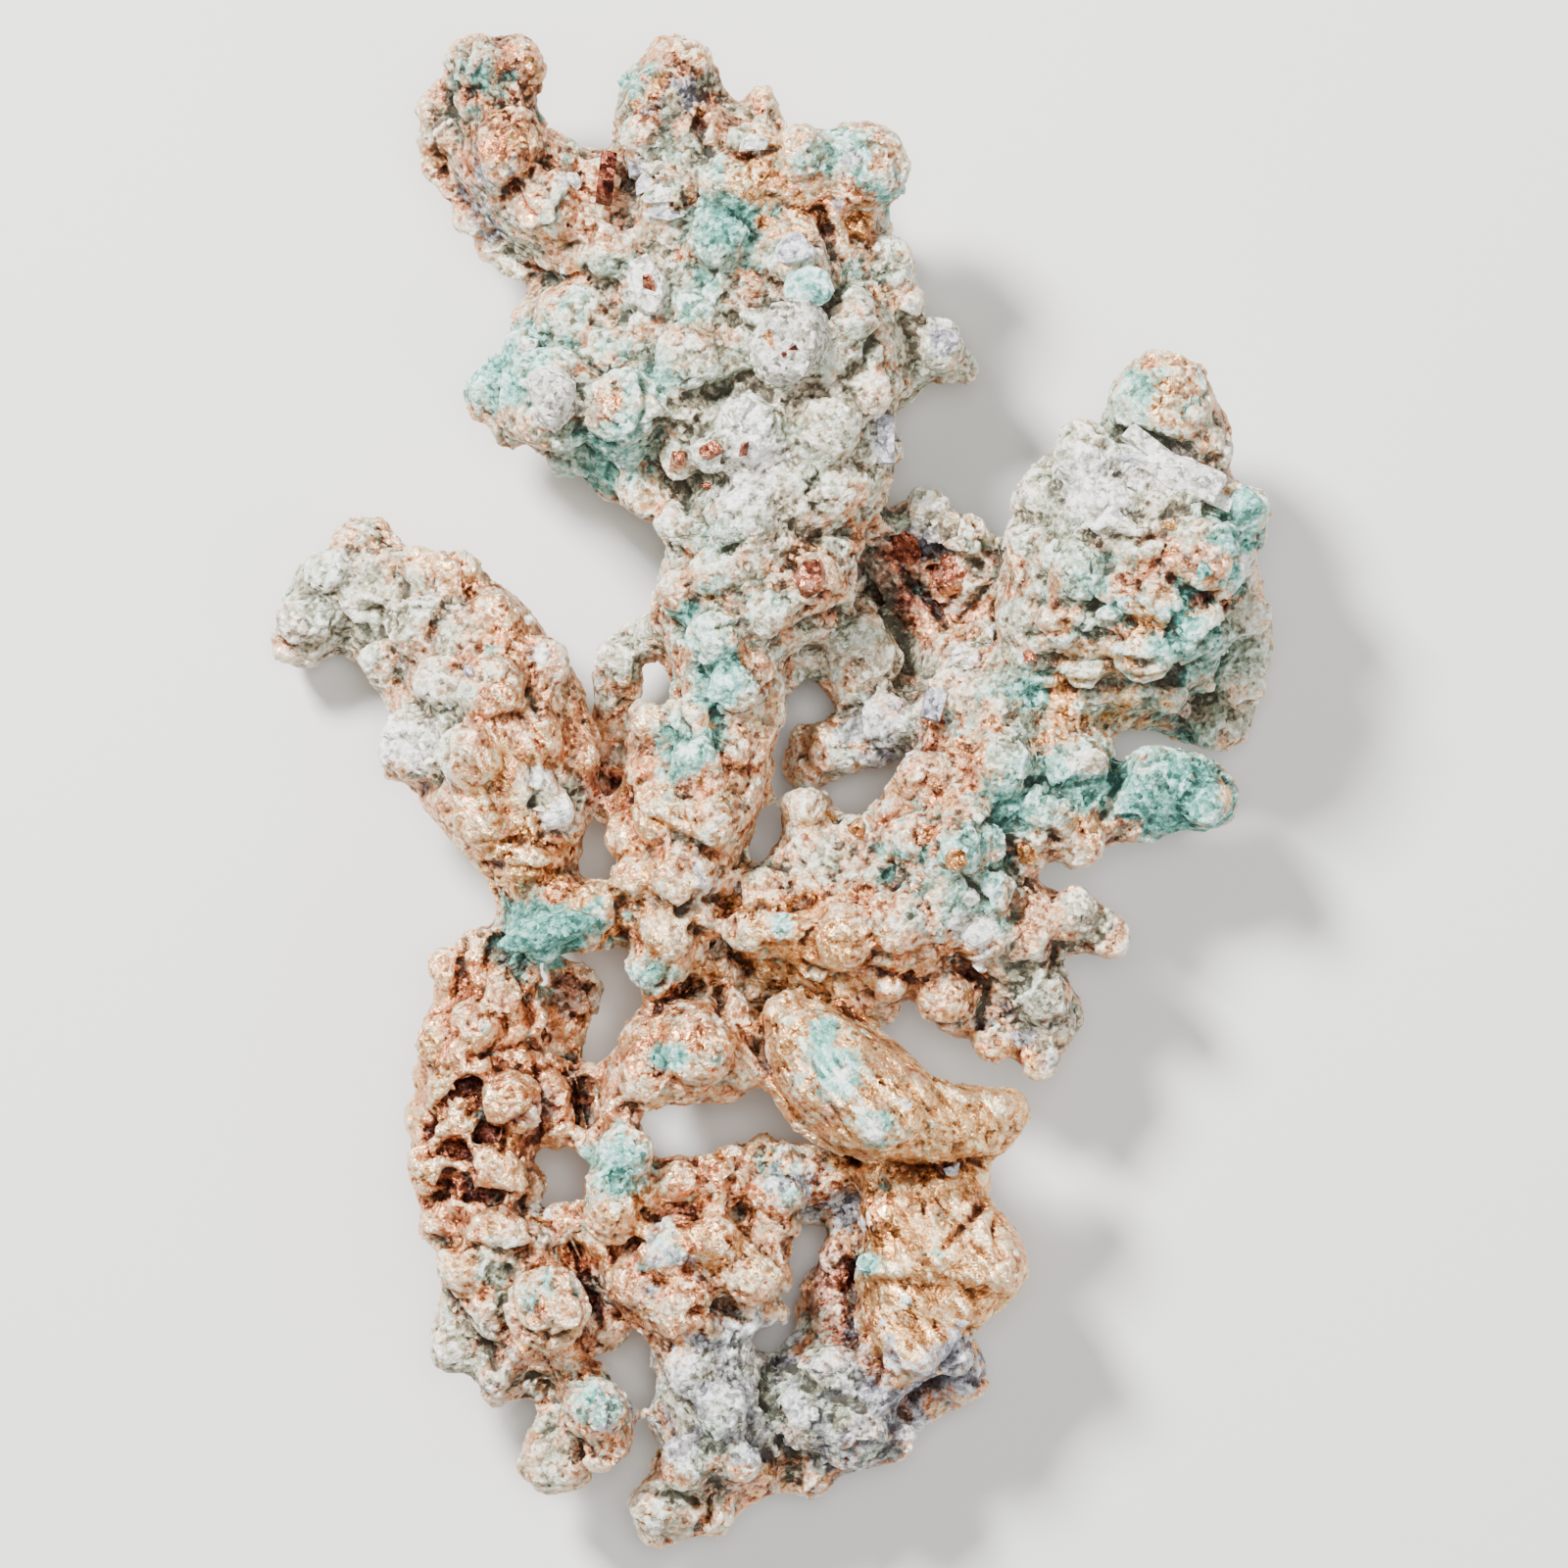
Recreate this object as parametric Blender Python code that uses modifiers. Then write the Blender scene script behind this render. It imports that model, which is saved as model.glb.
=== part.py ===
"""A native copper nugget: a flat, branching growth of metal that lies on its back.

The metal grew as limbs of rounded lumps that ran into each other.  Here each limb is a
few strands of beads.  The beads are fused into one mass, roughened, thinned to flat
facets, ground flat where the nugget rests, and parted at its main forks by thin cuts.

Run it with:  blender --background --python part.py
"""

import math

import bmesh
import bpy
import numpy as np
from mathutils import Matrix, Vector
from mathutils.bvhtree import BVHTree

MM = 0.001  # the tables below are in millimetres, Blender is in metres

# Driving dimensions, in millimetres.
VOXEL = 0.62  # cell of the mesh that fuses the beads
BALL_DETAIL = 3  # how finely a bead is faceted before the beads are fused
BEAD_SPACING = 0.35  # distance between the beads of a strand, as a share of their radius
LUMP_SIZE = 4.2  # how wide the small swellings of the skin are
LUMP_HEIGHT = 1.3  # from the deepest dimple to the highest swelling
SWELLING_BASE = 0.3  # the share of that height that lies below the beads
TRIANGLES = 7100  # facets of the whole mass before the cuts
KERF = 0.3  # width of the cuts that part the limbs
MASS_TOP = 40.0  # higher than any lump, so the cuts pass right through

# Every bead is (x, y, height of its centre, radius).  x runs to the right, y away from
# the root, and the heights are counted from the surface that the nugget lies on.
LIMBS = {
    "crown": {
        "core": [(-9, 45, 10, 5.5), (-3, 44, 11, 6.8), (3, 43, 11, 6.2), (7, 41, 10, 4.5)],
        "core_low": [(-9, 37, 10, 5.5), (-2, 37, 11, 6.5), (4.5, 36, 12, 6.0)],
        "neck": [(-6, 30, 11, 5.5), (0, 29, 11.5, 6.5), (5, 28, 11.5, 5.2)],
        "left_horn": [(-24.4, 58.8, 12, 3.1), (-22.8, 56, 12, 3.3), (-21.8, 52, 11.5, 4.1),
                      (-18.5, 48.5, 11, 4.6), (-14.5, 45.5, 10.5, 5.0)],
        "horn_lobe": [(-21.3, 59.4, 12.5, 2.4), (-22, 56.5, 12, 2.8)],
        "horn_side": [(-28.5, 56.5, 10, 1.5), (-27.6, 54.8, 10, 1.6), (-26, 52, 10, 1.9)],
        "horn_hook": [(-28.4, 52.8, 9.5, 1.0), (-28.7, 51.3, 9, 0.7), (-28.3, 50.5, 9, 0.8),
                      (-27, 50.3, 9, 0.7), (-26.2, 50.8, 9.5, 0.9)],
        "horn_ledge": [(-25.2, 49.3, 8.5, 1.5), (-24, 47.2, 8.5, 1.7), (-22.2, 45.2, 8, 1.9),
                       (-20.3, 43.9, 8, 1.8), (-17.5, 43.5, 8.5, 2.4)],
        "saddle": [(-18, 51.2, 10, 2.2), (-15.5, 50.6, 9.5, 2.2), (-12.5, 50, 9.5, 2.8)],
        "top_knob": [(-8.1, 58.8, 12, 3.2), (-9.9, 57.3, 12, 3.0), (-9.3, 54, 12, 3.8),
                     (-6.5, 50, 12, 4.6)],
        "top_knob_right": [(-6.2, 56.8, 11.5, 2.2), (-4.9, 54.8, 11.5, 2.1), (-4, 52.5, 12, 3.0)],
        "spike": [(-0.8, 57.2, 12, 1.1), (-1, 55.2, 12, 1.5), (-1.4, 52.8, 12.5, 2.2),
                  (-1, 50.5, 12.5, 3.2)],
        "shoulder_ridge": [(-4.5, 47.5, 14, 3.2), (-1, 49.8, 15, 3.3), (2.5, 50.5, 15, 3.5),
                           (6, 50.3, 14, 3.4), (8.2, 49.8, 12.5, 2.4), (9.5, 49.3, 11.5, 1.3)],
        "brown_nodule": [(6.6, 46.2, 11, 2.1), (7.6, 45.8, 10, 1.4)],
        "right_flank": [(9.1, 43.6, 10, 2.0), (9.2, 41.5, 10, 2.0), (9.4, 39, 10, 2.6),
                        (9.2, 36.5, 10, 3.2), (9.9, 33.6, 9.5, 2.1)],
        "flank_knob": [(9.5, 40.2, 10, 1.5), (11, 40, 10, 1.15)],
        "right_spur": [(10.5, 36.2, 10, 2.4), (13, 35.9, 9.5, 2.5), (14.8, 35.1, 9, 1.9),
                       (16, 34.5, 9, 1.1)],
        "left_lobe": [(-12, 40, 9.5, 4.5), (-17.5, 37.8, 9.5, 3.6), (-19.2, 38.4, 9, 2.3)],
        "white_dome": [(-14, 34.5, 11, 4.0), (-18, 32.3, 11.5, 4.4)],
        "green_tip": [(-20.3, 34.8, 10, 2.4), (-22.6, 33.6, 9.5, 2.0), (-23.8, 32.6, 9, 1.6),
                      (-24.4, 31.2, 9, 1.3)],
        "lobe_foot": [(-18.5, 31, 10, 2.4), (-21.2, 30.2, 9.5, 1.9)],
        "copper_dome": [(-12.3, 31, 13, 4.2), (-13, 27.9, 10.5, 2.9), (-16.6, 28.4, 9.5, 2.5),
                        (-17.6, 27.2, 9, 1.5)],
        "lobe_edge": [(-13.2, 26.6, 9, 2.6), (-10, 24.9, 9.5, 3.0), (-6.8, 23.4, 10.5, 3.4)],
        "right_bulge": [(6.4, 30, 11, 3.6), (7.5, 27, 11, 2.7), (5.6, 25, 11.5, 3.6)],
        "back": [(-16, 40, 5.5, 3.6), (-7, 43, 3.9, 4.3), (2, 40, 4.6, 4.3), (6, 46, 6, 3.4)],
        "back_horn": [(-18, 46.5, 6.5, 3.2), (-9, 50, 7, 3.4), (-2, 48, 6, 3.6)],
        "back_neck": [(-8, 34, 5.5, 4.0), (0, 31, 5.6, 4.2), (4, 35, 5.5, 4.0)],
    },
    "trunk": {
        "stem": [(0, 24, 11.5, 6.4), (-1.4, 20, 12, 6.4), (-3.1, 16.3, 12, 5.5),
                 (-4.2, 12.5, 12, 4.9), (-3.6, 8, 12, 4.4), (-4.5, 4, 12, 4.7),
                 (-6.2, 0, 12.5, 5.3), (-7.3, -3.5, 12.5, 5.1), (-8, -7, 12.5, 4.2)],
        "stem_edge": [(-6.4, 21.4, 11, 2.4), (-7.4, 18.5, 11, 1.9), (-8.2, 15.6, 11.5, 2.0)],
        "nodule": [(3.2, 17.2, 14, 2.7), (3.8, 19.5, 12.5, 3.2)],
        "lip": [(5.4, 16, 12, 1.4), (3, 14.7, 12.5, 1.9), (0, 13.2, 12.5, 2.4)],
        "thumb": [(-10.6, 6.1, 13, 1.4), (-10.6, 3.8, 13, 1.7), (-10.2, 1, 13, 2.2),
                  (-10, -2, 12, 2.8)],
        "knee": [(-3.4, 2.6, 12, 2.8), (-3.2, -1.6, 13, 2.1), (-5, -4, 13, 2.6)],
        "red_toe": [(-12.6, -0.8, 11, 1.2), (-11.8, -3.2, 11.5, 1.8), (-10.8, -6, 12, 2.1)],
        "copper_nub": [(2, 11.2, 9, 1.0), (2.2, 9.9, 9, 0.8), (0.8, 9.2, 9.5, 1.2)],
        "back_spur": [(-9.5, 13.3, 8, 1.8), (-11.6, 12.6, 6, 1.5), (-13, 10.8, 6, 1.8),
                      (-13.2, 8.6, 5.5, 1.8), (-13.3, 5.4, 5, 1.4), (-13.2, 2.6, 6, 1.3),
                      (-11.5, -1, 8.5, 1.8)],
        "spur_web": [(-13.8, 3.2, 6.5, 1.3), (-14.4, 1, 7, 1.3), (-14.2, -1.2, 7.5, 1.2),
                     (-12.8, -1.6, 8, 1.2)],
        "hub": [(-8.6, -10.5, 13, 3.0), (-8.8, -13, 13.8, 2.7), (-9.4, -15.2, 13.3, 2.1)],
        "hub_nub": [(-6.1, -9.7, 14.4, 1.2), (-6, -11.6, 14, 1.1)],
        "hub_chip": [(-7, -13.5, 12.5, 1.3), (-5.3, -13.8, 11.5, 0.9), (-5.3, -15.4, 11, 1.2)],
        "bar": [(-11, -10.2, 13, 2.6), (-14, -10, 13, 2.5), (-17, -10.5, 13.5, 2.9),
                (-20, -11.4, 13.5, 2.2), (-20.9, -11.7, 13.5, 1.5)],
        "bar_top": [(-12.5, -9, 12.3, 1.8), (-16, -8.9, 12, 2.0), (-20, -8.9, 11.5, 2.6)],
        "back": [(-2, 19, 5.5, 4.2), (-5, 11, 6.4, 3.9), (-5.5, 1, 6.6, 3.8), (-8, -8, 8.5, 3.2)],
    },
    "left_arm": {
        "wrist": [(-38.6, 13, 4, 2.6), (-37.3, 15.6, 4.6, 3.3), (-35, 17.3, 5.4, 3.4),
                  (-32, 17, 6.5, 3.4), (-29, 15.6, 8, 3.8), (-26, 13.3, 9.5, 4.9),
                  (-23.6, 10, 11, 5.5), (-22.4, 5, 11.5, 6.1), (-22.2, 0.7, 11.5, 6.0),
                  (-20.8, -3.3, 11.5, 4.8), (-19.8, -6.6, 11.5, 3.6)],
        "crest_left": [(-35.1, 22.3, 5, 0.9), (-35, 21, 5, 1.5), (-34.6, 19.2, 5.2, 2.3)],
        "crest_right": [(-32.9, 22, 5, 1.1), (-32.3, 20.6, 5.4, 1.6), (-31.8, 19.4, 5.6, 1.8)],
        "wrist_edge": [(-38.5, 18.4, 4.4, 1.4), (-39.3, 16, 4.2, 1.3), (-39.7, 13.4, 4, 1.3)],
        "ridge": [(-29, 17.9, 8.5, 1.8), (-26.2, 17.2, 9.5, 2.2), (-23.2, 14.7, 10.5, 2.4),
                  (-21, 12.6, 11, 2.1), (-18.7, 10.4, 10.5, 1.6), (-17.8, 8.7, 10, 1.8)],
        "white_knob": [(-26.5, 4.5, 10.5, 3.6), (-29.2, 3.2, 9.5, 3.0)],
        "elbow": [(-32.5, 10.4, 6.5, 1.8), (-30.3, 9.1, 7.5, 2.5), (-28.6, 6.8, 9, 2.6)],
        "inner_flank": [(-18, 6, 10.5, 3.0), (-16.4, 3.3, 10.5, 2.3), (-16.8, 0, 10.5, 2.0),
                        (-17.1, -3, 11, 2.0), (-17.3, -5.5, 11, 1.7)],
        "outer_flank": [(-26, 0, 10.5, 3.1), (-24.2, -2.8, 10.5, 2.5), (-22, -5.2, 11, 2.2),
                        (-21.6, -7.4, 11, 2.0)],
        "back": [(-36.4, 15, 2.7, 3.0), (-24.5, 8.5, 6, 3.6), (-21, 1, 6.4, 3.8)],
    },
    "right_arm": {
        "bar": [(-1.4, -11.4, 14, 2.2), (1.5, -11.6, 14, 2.4), (5, -12.2, 13.5, 3.0),
                (8.5, -11.5, 13, 3.7), (12.5, -9, 13, 4.7), (15, -5, 13, 4.8),
                (16, 0, 12.5, 4.4), (17.5, 4.5, 12, 4.2), (18, 8, 12, 3.6)],
        "keel": [(4.5, -14.1, 11.5, 1.8), (7.8, -15.5, 11, 2.0), (10.5, -14.6, 11, 2.3),
                 (13.5, -14, 11, 2.6)],
        "small_horn": [(2.2, -1.3, 11.5, 1.8), (2.7, -3.4, 12, 2.4), (4.4, -6.5, 12.5, 3.0),
                       (6.5, -9.5, 13, 3.2)],
        "horn_cusp": [(3.5, -0.5, 11, 1.1), (3.6, -2.5, 11.5, 1.6)],
        "horn_web": [(4.6, -2.2, 11, 1.3), (6.4, -3.4, 11.5, 1.7)],
        "side_lump": [(0.8, -5.1, 11, 1.4), (0.6, -7, 11, 1.4), (2.5, -9, 12, 1.8)],
        "side_pebble": [(-1.6, -7.8, 11.5, 1.5), (-1, -9.5, 12.5, 1.6)],
        "shoulder": [(8.3, -3.9, 12.5, 2.5), (10.8, -1.5, 12.5, 2.5), (13, 1.8, 12.5, 2.5),
                     (14.6, 4.4, 12, 2.2)],
        "green_shoulder": [(19, 1.5, 11.5, 4.4), (22.8, 2.2, 11.5, 3.8), (25.4, 2.4, 11, 2.3)],
        "green_knee": [(20.5, -1.5, 11.5, 3.9), (24, -1.9, 11, 3.6), (25, -3.8, 10.5, 2.2),
                       (24.4, -5.1, 10.3, 1.5)],
        "green_finger": [(26.5, -1.1, 10.5, 2.8), (29, -0.6, 10.5, 3.2), (31.6, 0.2, 11, 3.5),
                         (34.3, 0, 11, 3.1), (36.6, -0.8, 11, 1.9)],
        "fold": [(-2.6, -12.6, 9.5, 2.0), (0, -13.8, 9.5, 2.0), (4, -16.3, 9, 2.3),
                 (7.6, -17.4, 8.8, 2.2)],
        "tan_finger": [(19, -9.8, 12, 3.0), (22, -10.4, 11.5, 2.7), (24.6, -10.6, 11, 2.5),
                       (27, -12, 10.5, 1.9), (28.2, -12.4, 10.3, 1.4)],
        "hanging": [(18.5, -13.5, 11, 3.2), (21.5, -16.4, 10, 2.7), (22.9, -18.7, 9.5, 2.3),
                    (21.6, -21.8, 9, 1.6)],
        "hanging_left": [(16, -15.2, 10, 2.6), (14, -17.3, 9.5, 2.2), (17.3, -18.4, 9.5, 2.2),
                         (18, -20.3, 9, 1.6)],
        "red_wedge": [(9.5, 21.2, 7.5, 2.2), (12.5, 22.1, 7.5, 2.1), (15.5, 21, 7.5, 2.0),
                      (17.2, 20.4, 8, 1.7)],
        "wedge_face": [(9.5, 18.8, 6.6, 2.1), (13.5, 18.8, 7, 2.5), (16.4, 17.6, 7.5, 2.0)],
        "wedge_tip": [(11.5, 16.2, 6.2, 2.0), (13.4, 13.6, 6.6, 1.8), (14.8, 11, 8.5, 2.2),
                      (16, 9.6, 11, 2.6)],
        "wedge_web": [(8.2, 18.6, 5, 2.2), (9.8, 15.8, 4.8, 2.3), (11.6, 12.4, 5, 2.0),
                      (12.2, 9.4, 5.5, 1.6)],
        "wedge_foot": [(16.4, 15, 6.5, 2.3), (16.6, 12, 7.5, 2.2)],
        "wedge_crest": [(11.4, 23.8, 7.2, 0.9), (13.6, 23.7, 7.2, 1.0)],
        "yellow_lump": [(8, 14.4, 8.5, 1.6), (6.3, 12.4, 9, 2.3), (5.9, 9.8, 8.5, 2.5),
                        (8.8, 11.2, 8, 1.9), (8.4, 7.9, 7.5, 2.3)],
        "grey_slab": [(2.6, 4.2, 6.5, 1.5), (5.2, 3.9, 7, 2.2), (8.5, 4.9, 7.5, 2.6),
                      (11.3, 5.3, 8.5, 2.2), (13.2, 6.8, 9.5, 1.6)],
        "dark_lump": [(1.7, 2.6, 5.5, 1.5), (1.9, 1, 5.5, 1.2), (4.8, 1.6, 5.5, 0.9)],
        "web_link": [(10.6, 7.8, 7.5, 1.3), (12.3, 9, 7.5, 1.2), (14, 9.5, 9, 1.8)],
        "back": [(12, -8, 7.5, 3.6), (17, -2, 6.8, 3.8), (20, 4, 6.6, 3.4), (15, 6.5, 6.5, 3.0)],
    },
    "right_club": {
        "top_knob": [(29.5, 30.6, 12.5, 3.0), (31.5, 31.6, 13, 3.6), (33, 30.2, 13, 3.6),
                     (34.3, 27, 12.5, 3.2)],
        "left_steps": [(25, 27.2, 12, 2.5), (22.3, 24.9, 11.5, 2.2), (20.8, 20.8, 11, 2.2),
                       (20.5, 17, 11.5, 2.7)],
        "core": [(27.2, 24.8, 14, 4.2), (32, 23.4, 14.5, 4.8), (35.8, 20.5, 13.5, 4.0)],
        "core_middle": [(22.5, 14, 13, 4.4), (25.5, 19, 14, 5.2), (31, 18, 14.5, 5.6)],
        "core_low": [(27, 14.5, 14, 5.2), (32.5, 14.5, 14, 5.0), (35.4, 15.5, 12.5, 3.6)],
        "belly": [(22.5, 10, 12, 3.2), (26, 9.3, 12, 3.3), (30, 9.8, 12, 3.4), (33.6, 11, 11, 2.8)],
        "dome": [(34.6, 19.4, 15.5, 3.4)],
        "teal_knob": [(36.5, 21.5, 13, 2.4), (37.7, 22.8, 12.5, 2.5)],
        "tan_back": [(38, 17.5, 7, 2.0), (38.8, 14.8, 6.5, 2.1), (39, 11.7, 6, 2.1),
                     (37.9, 8.4, 5.5, 2.2), (36.8, 5.4, 5, 2.4), (33.6, 6.9, 6, 2.2),
                     (30.5, 7.3, 8, 2.0), (28, 6.4, 9.8, 1.7)],
        "back": [(35, 10, 3.4, 3.7), (30, 13, 5.5, 4.4), (34, 18, 7, 4.4), (27, 19, 7, 4.4)],
        "back_top": [(30, 24, 7.8, 3.9), (31, 29, 8.6, 3.3)],
    },
    "lower_left": {
        "edge": [(-22.9, -12.2, 11, 1.8), (-24, -13.6, 10.5, 1.6), (-23.5, -16.5, 10.5, 2.4),
                 (-24.6, -19.5, 10.5, 3.2), (-26.1, -23, 10, 3.3), (-27, -27, 9.5, 3.2),
                 (-26.9, -31, 9.5, 3.1), (-26, -34.5, 9.5, 2.8), (-24.6, -37.8, 10, 3.0),
                 (-24, -41.5, 10, 3.0)],
        "side_knob": [(-26, -14.4, 10, 1.7), (-25.6, -17, 10, 2.2), (-27, -20.4, 9.5, 2.0)],
        "inner_row": [(-21.2, -15.6, 11.5, 2.1), (-20.5, -18.5, 11, 2.0), (-22.5, -21, 11, 2.2),
                      (-21.6, -23.5, 11, 2.3), (-21.5, -26.2, 11, 1.8), (-22.7, -30, 11, 2.4),
                      (-22, -32.8, 10.5, 1.8)],
        "edge_knob": [(-27, -33.5, 9, 1.6), (-28.1, -35.2, 9, 1.1)],
        "belly": [(-21.5, -36.4, 11, 2.5), (-21, -39.5, 11.5, 2.8), (-18.9, -41.2, 12, 3.4)],
        "skirt": [(-26, -42.2, 9.5, 1.8), (-26.7, -44.8, 9, 1.5), (-27.1, -46.2, 9, 1.2)],
        "skirt_fold": [(-24.6, -44.4, 9, 2.3), (-23.4, -46.4, 9, 2.1), (-22.7, -49, 8.5, 1.7),
                       (-21.3, -48.6, 8.5, 1.6), (-20.4, -47.4, 9, 1.6)],
        "lower_link": [(-20.2, -44.5, 10.5, 2.4), (-19.6, -47, 10, 1.7), (-17.2, -46.3, 10.5, 1.6),
                       (-15.2, -49.2, 11, 2.3), (-14.4, -51.1, 11.5, 3.2), (-13.6, -53.1, 11, 1.8)],
        "drop": [(-19, -48.5, 9, 1.0), (-19, -50.2, 8.5, 0.9), (-18.3, -52.2, 8.5, 1.3),
                 (-18, -54.9, 8.5, 3.0)],
        "lace": [(-21, -21.6, 10, 1.4), (-18.3, -22.3, 10, 1.4), (-17.6, -25, 10.5, 1.4),
                 (-17.9, -27.5, 10.5, 1.5), (-16.2, -28.5, 10.5, 1.2)],
        "lace_bottom": [(-19.4, -29.5, 9.5, 0.8), (-20.4, -31.5, 9.5, 0.9)],
        "pocket": [(-19.2, -17.5, 8.5, 1.6), (-16.9, -18.1, 6.8, 1.9), (-15.6, -16.5, 6.3, 1.4),
                   (-16.5, -14.3, 7, 1.3)],
        "pit": [(-15.9, -22.8, 8.5, 1.3), (-15.6, -25.4, 8, 1.5), (-14.6, -27.6, 8.5, 1.6)],
        "foot_web": [(-15.6, -45, 8, 1.6), (-13.6, -44.8, 7.5, 1.6)],
        "shelf": [(-18.5, -36.5, 10, 1.8), (-18, -34.9, 10, 1.0), (-19.8, -34.8, 10, 0.9)],
        "back": [(-25.5, -25, 6.8, 2.8), (-25, -33, 6.8, 2.6), (-21.5, -40, 7.4, 3.0)],
    },
    "lower_middle": {
        "upper_lump": [(-10, -20.3, 13, 2.9), (-6.4, -19.7, 13.5, 3.2), (-7, -22.4, 13.5, 3.0),
                       (-4.2, -21.6, 13, 2.6), (-2.6, -22.6, 12, 1.9),
                       (-4, -24, 12, 1.7)],
        "lump_left": [(-9.5, -22.5, 12.5, 2.8), (-11.6, -23.2, 12.5, 2.3), (-12.7, -25.6, 12, 1.8)],
        "lump_chip": [(-13, -22.4, 11, 1.3), (-15, -22.8, 10.5, 1.0)],
        "blue_chip": [(-3.2, -17.3, 12, 1.3), (-3.4, -19, 12.5, 1.5)],
        "teal_bridge": [(-12.9, -27.4, 12, 1.6), (-12.3, -29.6, 12.5, 2.1), (-13, -32.6, 13, 2.9)],
        "bridge_arm": [(-13, -29.4, 12, 1.4), (-15.2, -29.5, 11.5, 0.9)],
        "red_chip": [(-17.1, -33.2, 11, 0.7), (-16.6, -35, 11, 1.2), (-14.5, -36, 11.5, 1.6)],
        "pink_bar": [(-10, -31.8, 10.5, 1.8), (-7, -31.4, 10.5, 2.1), (-4, -31.6, 10.5, 2.0),
                     (-2.4, -30, 10, 1.5), (-0.8, -28.4, 10, 1.2)],
        "grey_lobe": [(0, -30.6, 9.5, 2.2), (0.4, -33.1, 10, 2.0), (-1, -35.6, 11, 1.7)],
        "grey_lobe_deep": [(1.5, -31, 8.5, 2.3), (4.6, -31, 8.2, 2.3), (4.6, -33.6, 7.4, 1.5)],
        "flow": [(-9.5, -36.3, 11.5, 2.7), (-6, -36.8, 12, 3.1), (-3.2, -38.8, 12.5, 2.8),
                 (-0.6, -39.6, 12, 2.2)],
        "flow_low": [(-12, -38.5, 11, 2.5), (-9.5, -41, 11.5, 3.3), (-7, -43, 11, 3.0),
                     (-9.2, -44.2, 10.5, 1.7)],
        "pebble": [(0.1, -37.2, 10, 1.2), (1.2, -37.2, 9.5, 0.9)],
        "red_pocket": [(-14.6, -38.5, 9.5, 1.6), (-14.1, -41.3, 8.5, 1.7), (-12.8, -42.9, 8, 1.5)],
        "brow": [(-3, -42.3, 10, 2.0), (-0.4, -42.6, 9.8, 0.9), (1, -42.4, 9.8, 0.6)],
        "root": [(-5.5, -46, 10, 3.6), (-5.3, -49.5, 9.5, 4.3), (-4.9, -53, 9, 4.5),
                 (-6.4, -56.5, 8, 3.5), (-8.8, -58.7, 7.5, 3.1), (-10.6, -58.4, 7, 1.7)],
        "root_right": [(-1.7, -47.5, 8.5, 2.2), (-1.6, -50.5, 8.5, 2.4), (-2.2, -53.5, 9, 3.1),
                       (-1.8, -56.3, 8, 1.9)],
        "root_toe": [(-4.8, -57, 7.5, 2.4), (-5.4, -59.4, 7, 1.9)],
        "root_heel": [(-9.4, -59.6, 7, 2.2), (-10.5, -60.3, 7, 1.2), (-10.9, -61.5, 7, 0.6)],
        "root_side": [(-8, -50.5, 9, 2.1), (-10.1, -51.4, 9, 0.9)],
        "back": [(-6, -52.5, 3.3, 3.6), (-7, -45, 6, 3.5), (-8, -38.5, 7, 3.2)],
        "back_top": [(-9.5, -21.8, 8.5, 2.8), (-5, -21.4, 9, 2.8)],
    },
    "lower_right": {
        "lobe": [(0.9, -17.8, 15, 2.0), (2.6, -20.2, 15.5, 3.5), (5, -23, 16, 4.6),
                 (8.3, -25.2, 16, 4.8), (12.3, -26.6, 15, 3.6), (16.3, -26.6, 14.3, 3.0),
                 (19.2, -25.9, 13.5, 1.8)],
        "lobe_keel": [(0.9, -22.5, 14.5, 2.1), (3.6, -26, 14.5, 2.5), (8, -27.8, 13.5, 2.3)],
        "lobe_shoulder": [(4.8, -19, 13.5, 2.0), (7.9, -21.2, 13.5, 2.0), (10.4, -23.4, 13.5, 1.9)],
        "lobe_tail": [(13, -28, 13.5, 2.2), (17.3, -27.6, 13, 2.1)],
        "waist": [(9.5, -31, 11, 2.8), (13, -31, 11, 3.0), (15.8, -31.3, 11, 2.3)],
        "slab": [(10.5, -35, 11, 3.9), (14.4, -35.2, 11.3, 3.8), (17, -37.8, 11.5, 3.8)],
        "slab_middle": [(11.3, -39.5, 11.6, 4.7), (15.4, -40, 11.5, 3.7)],
        "slab_low": [(10.6, -44, 11.3, 4.1), (13.4, -43.8, 11.5, 3.0), (9.4, -47.2, 10.5, 2.7)],
        "grey_under": [(12.5, -46, 7.5, 2.4), (14.8, -46.6, 7.5, 2.6), (14.5, -48.7, 7, 1.9),
                       (12.3, -50.3, 7, 1.6), (11, -51.6, 7, 1.1)],
        "grey_lump": [(4.5, -48.3, 9, 3.4), (5.4, -51.3, 9.5, 4.1), (7.2, -52.6, 9, 3.1)],
        "grey_low": [(3.4, -54.2, 8, 2.7), (0.9, -55.9, 8, 2.0), (2.9, -56.6, 8, 1.3)],
        "red_strip": [(5.6, -36.8, 7.5, 1.5), (5.2, -39.5, 7, 1.9), (4.4, -43, 6.5, 2.2),
                      (2.8, -46, 7, 2.0), (1.2, -47, 7, 1.2)],
        "recess": [(2.6, -40.6, 5.5, 1.5), (2, -42.2, 5.5, 1.2)],
        "back": [(4, -50, 4.6, 3.4), (11, -42, 7, 3.8), (13, -34, 7.2, 3.2), (8, -25, 11.5, 3.4)],
    },
}

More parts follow.
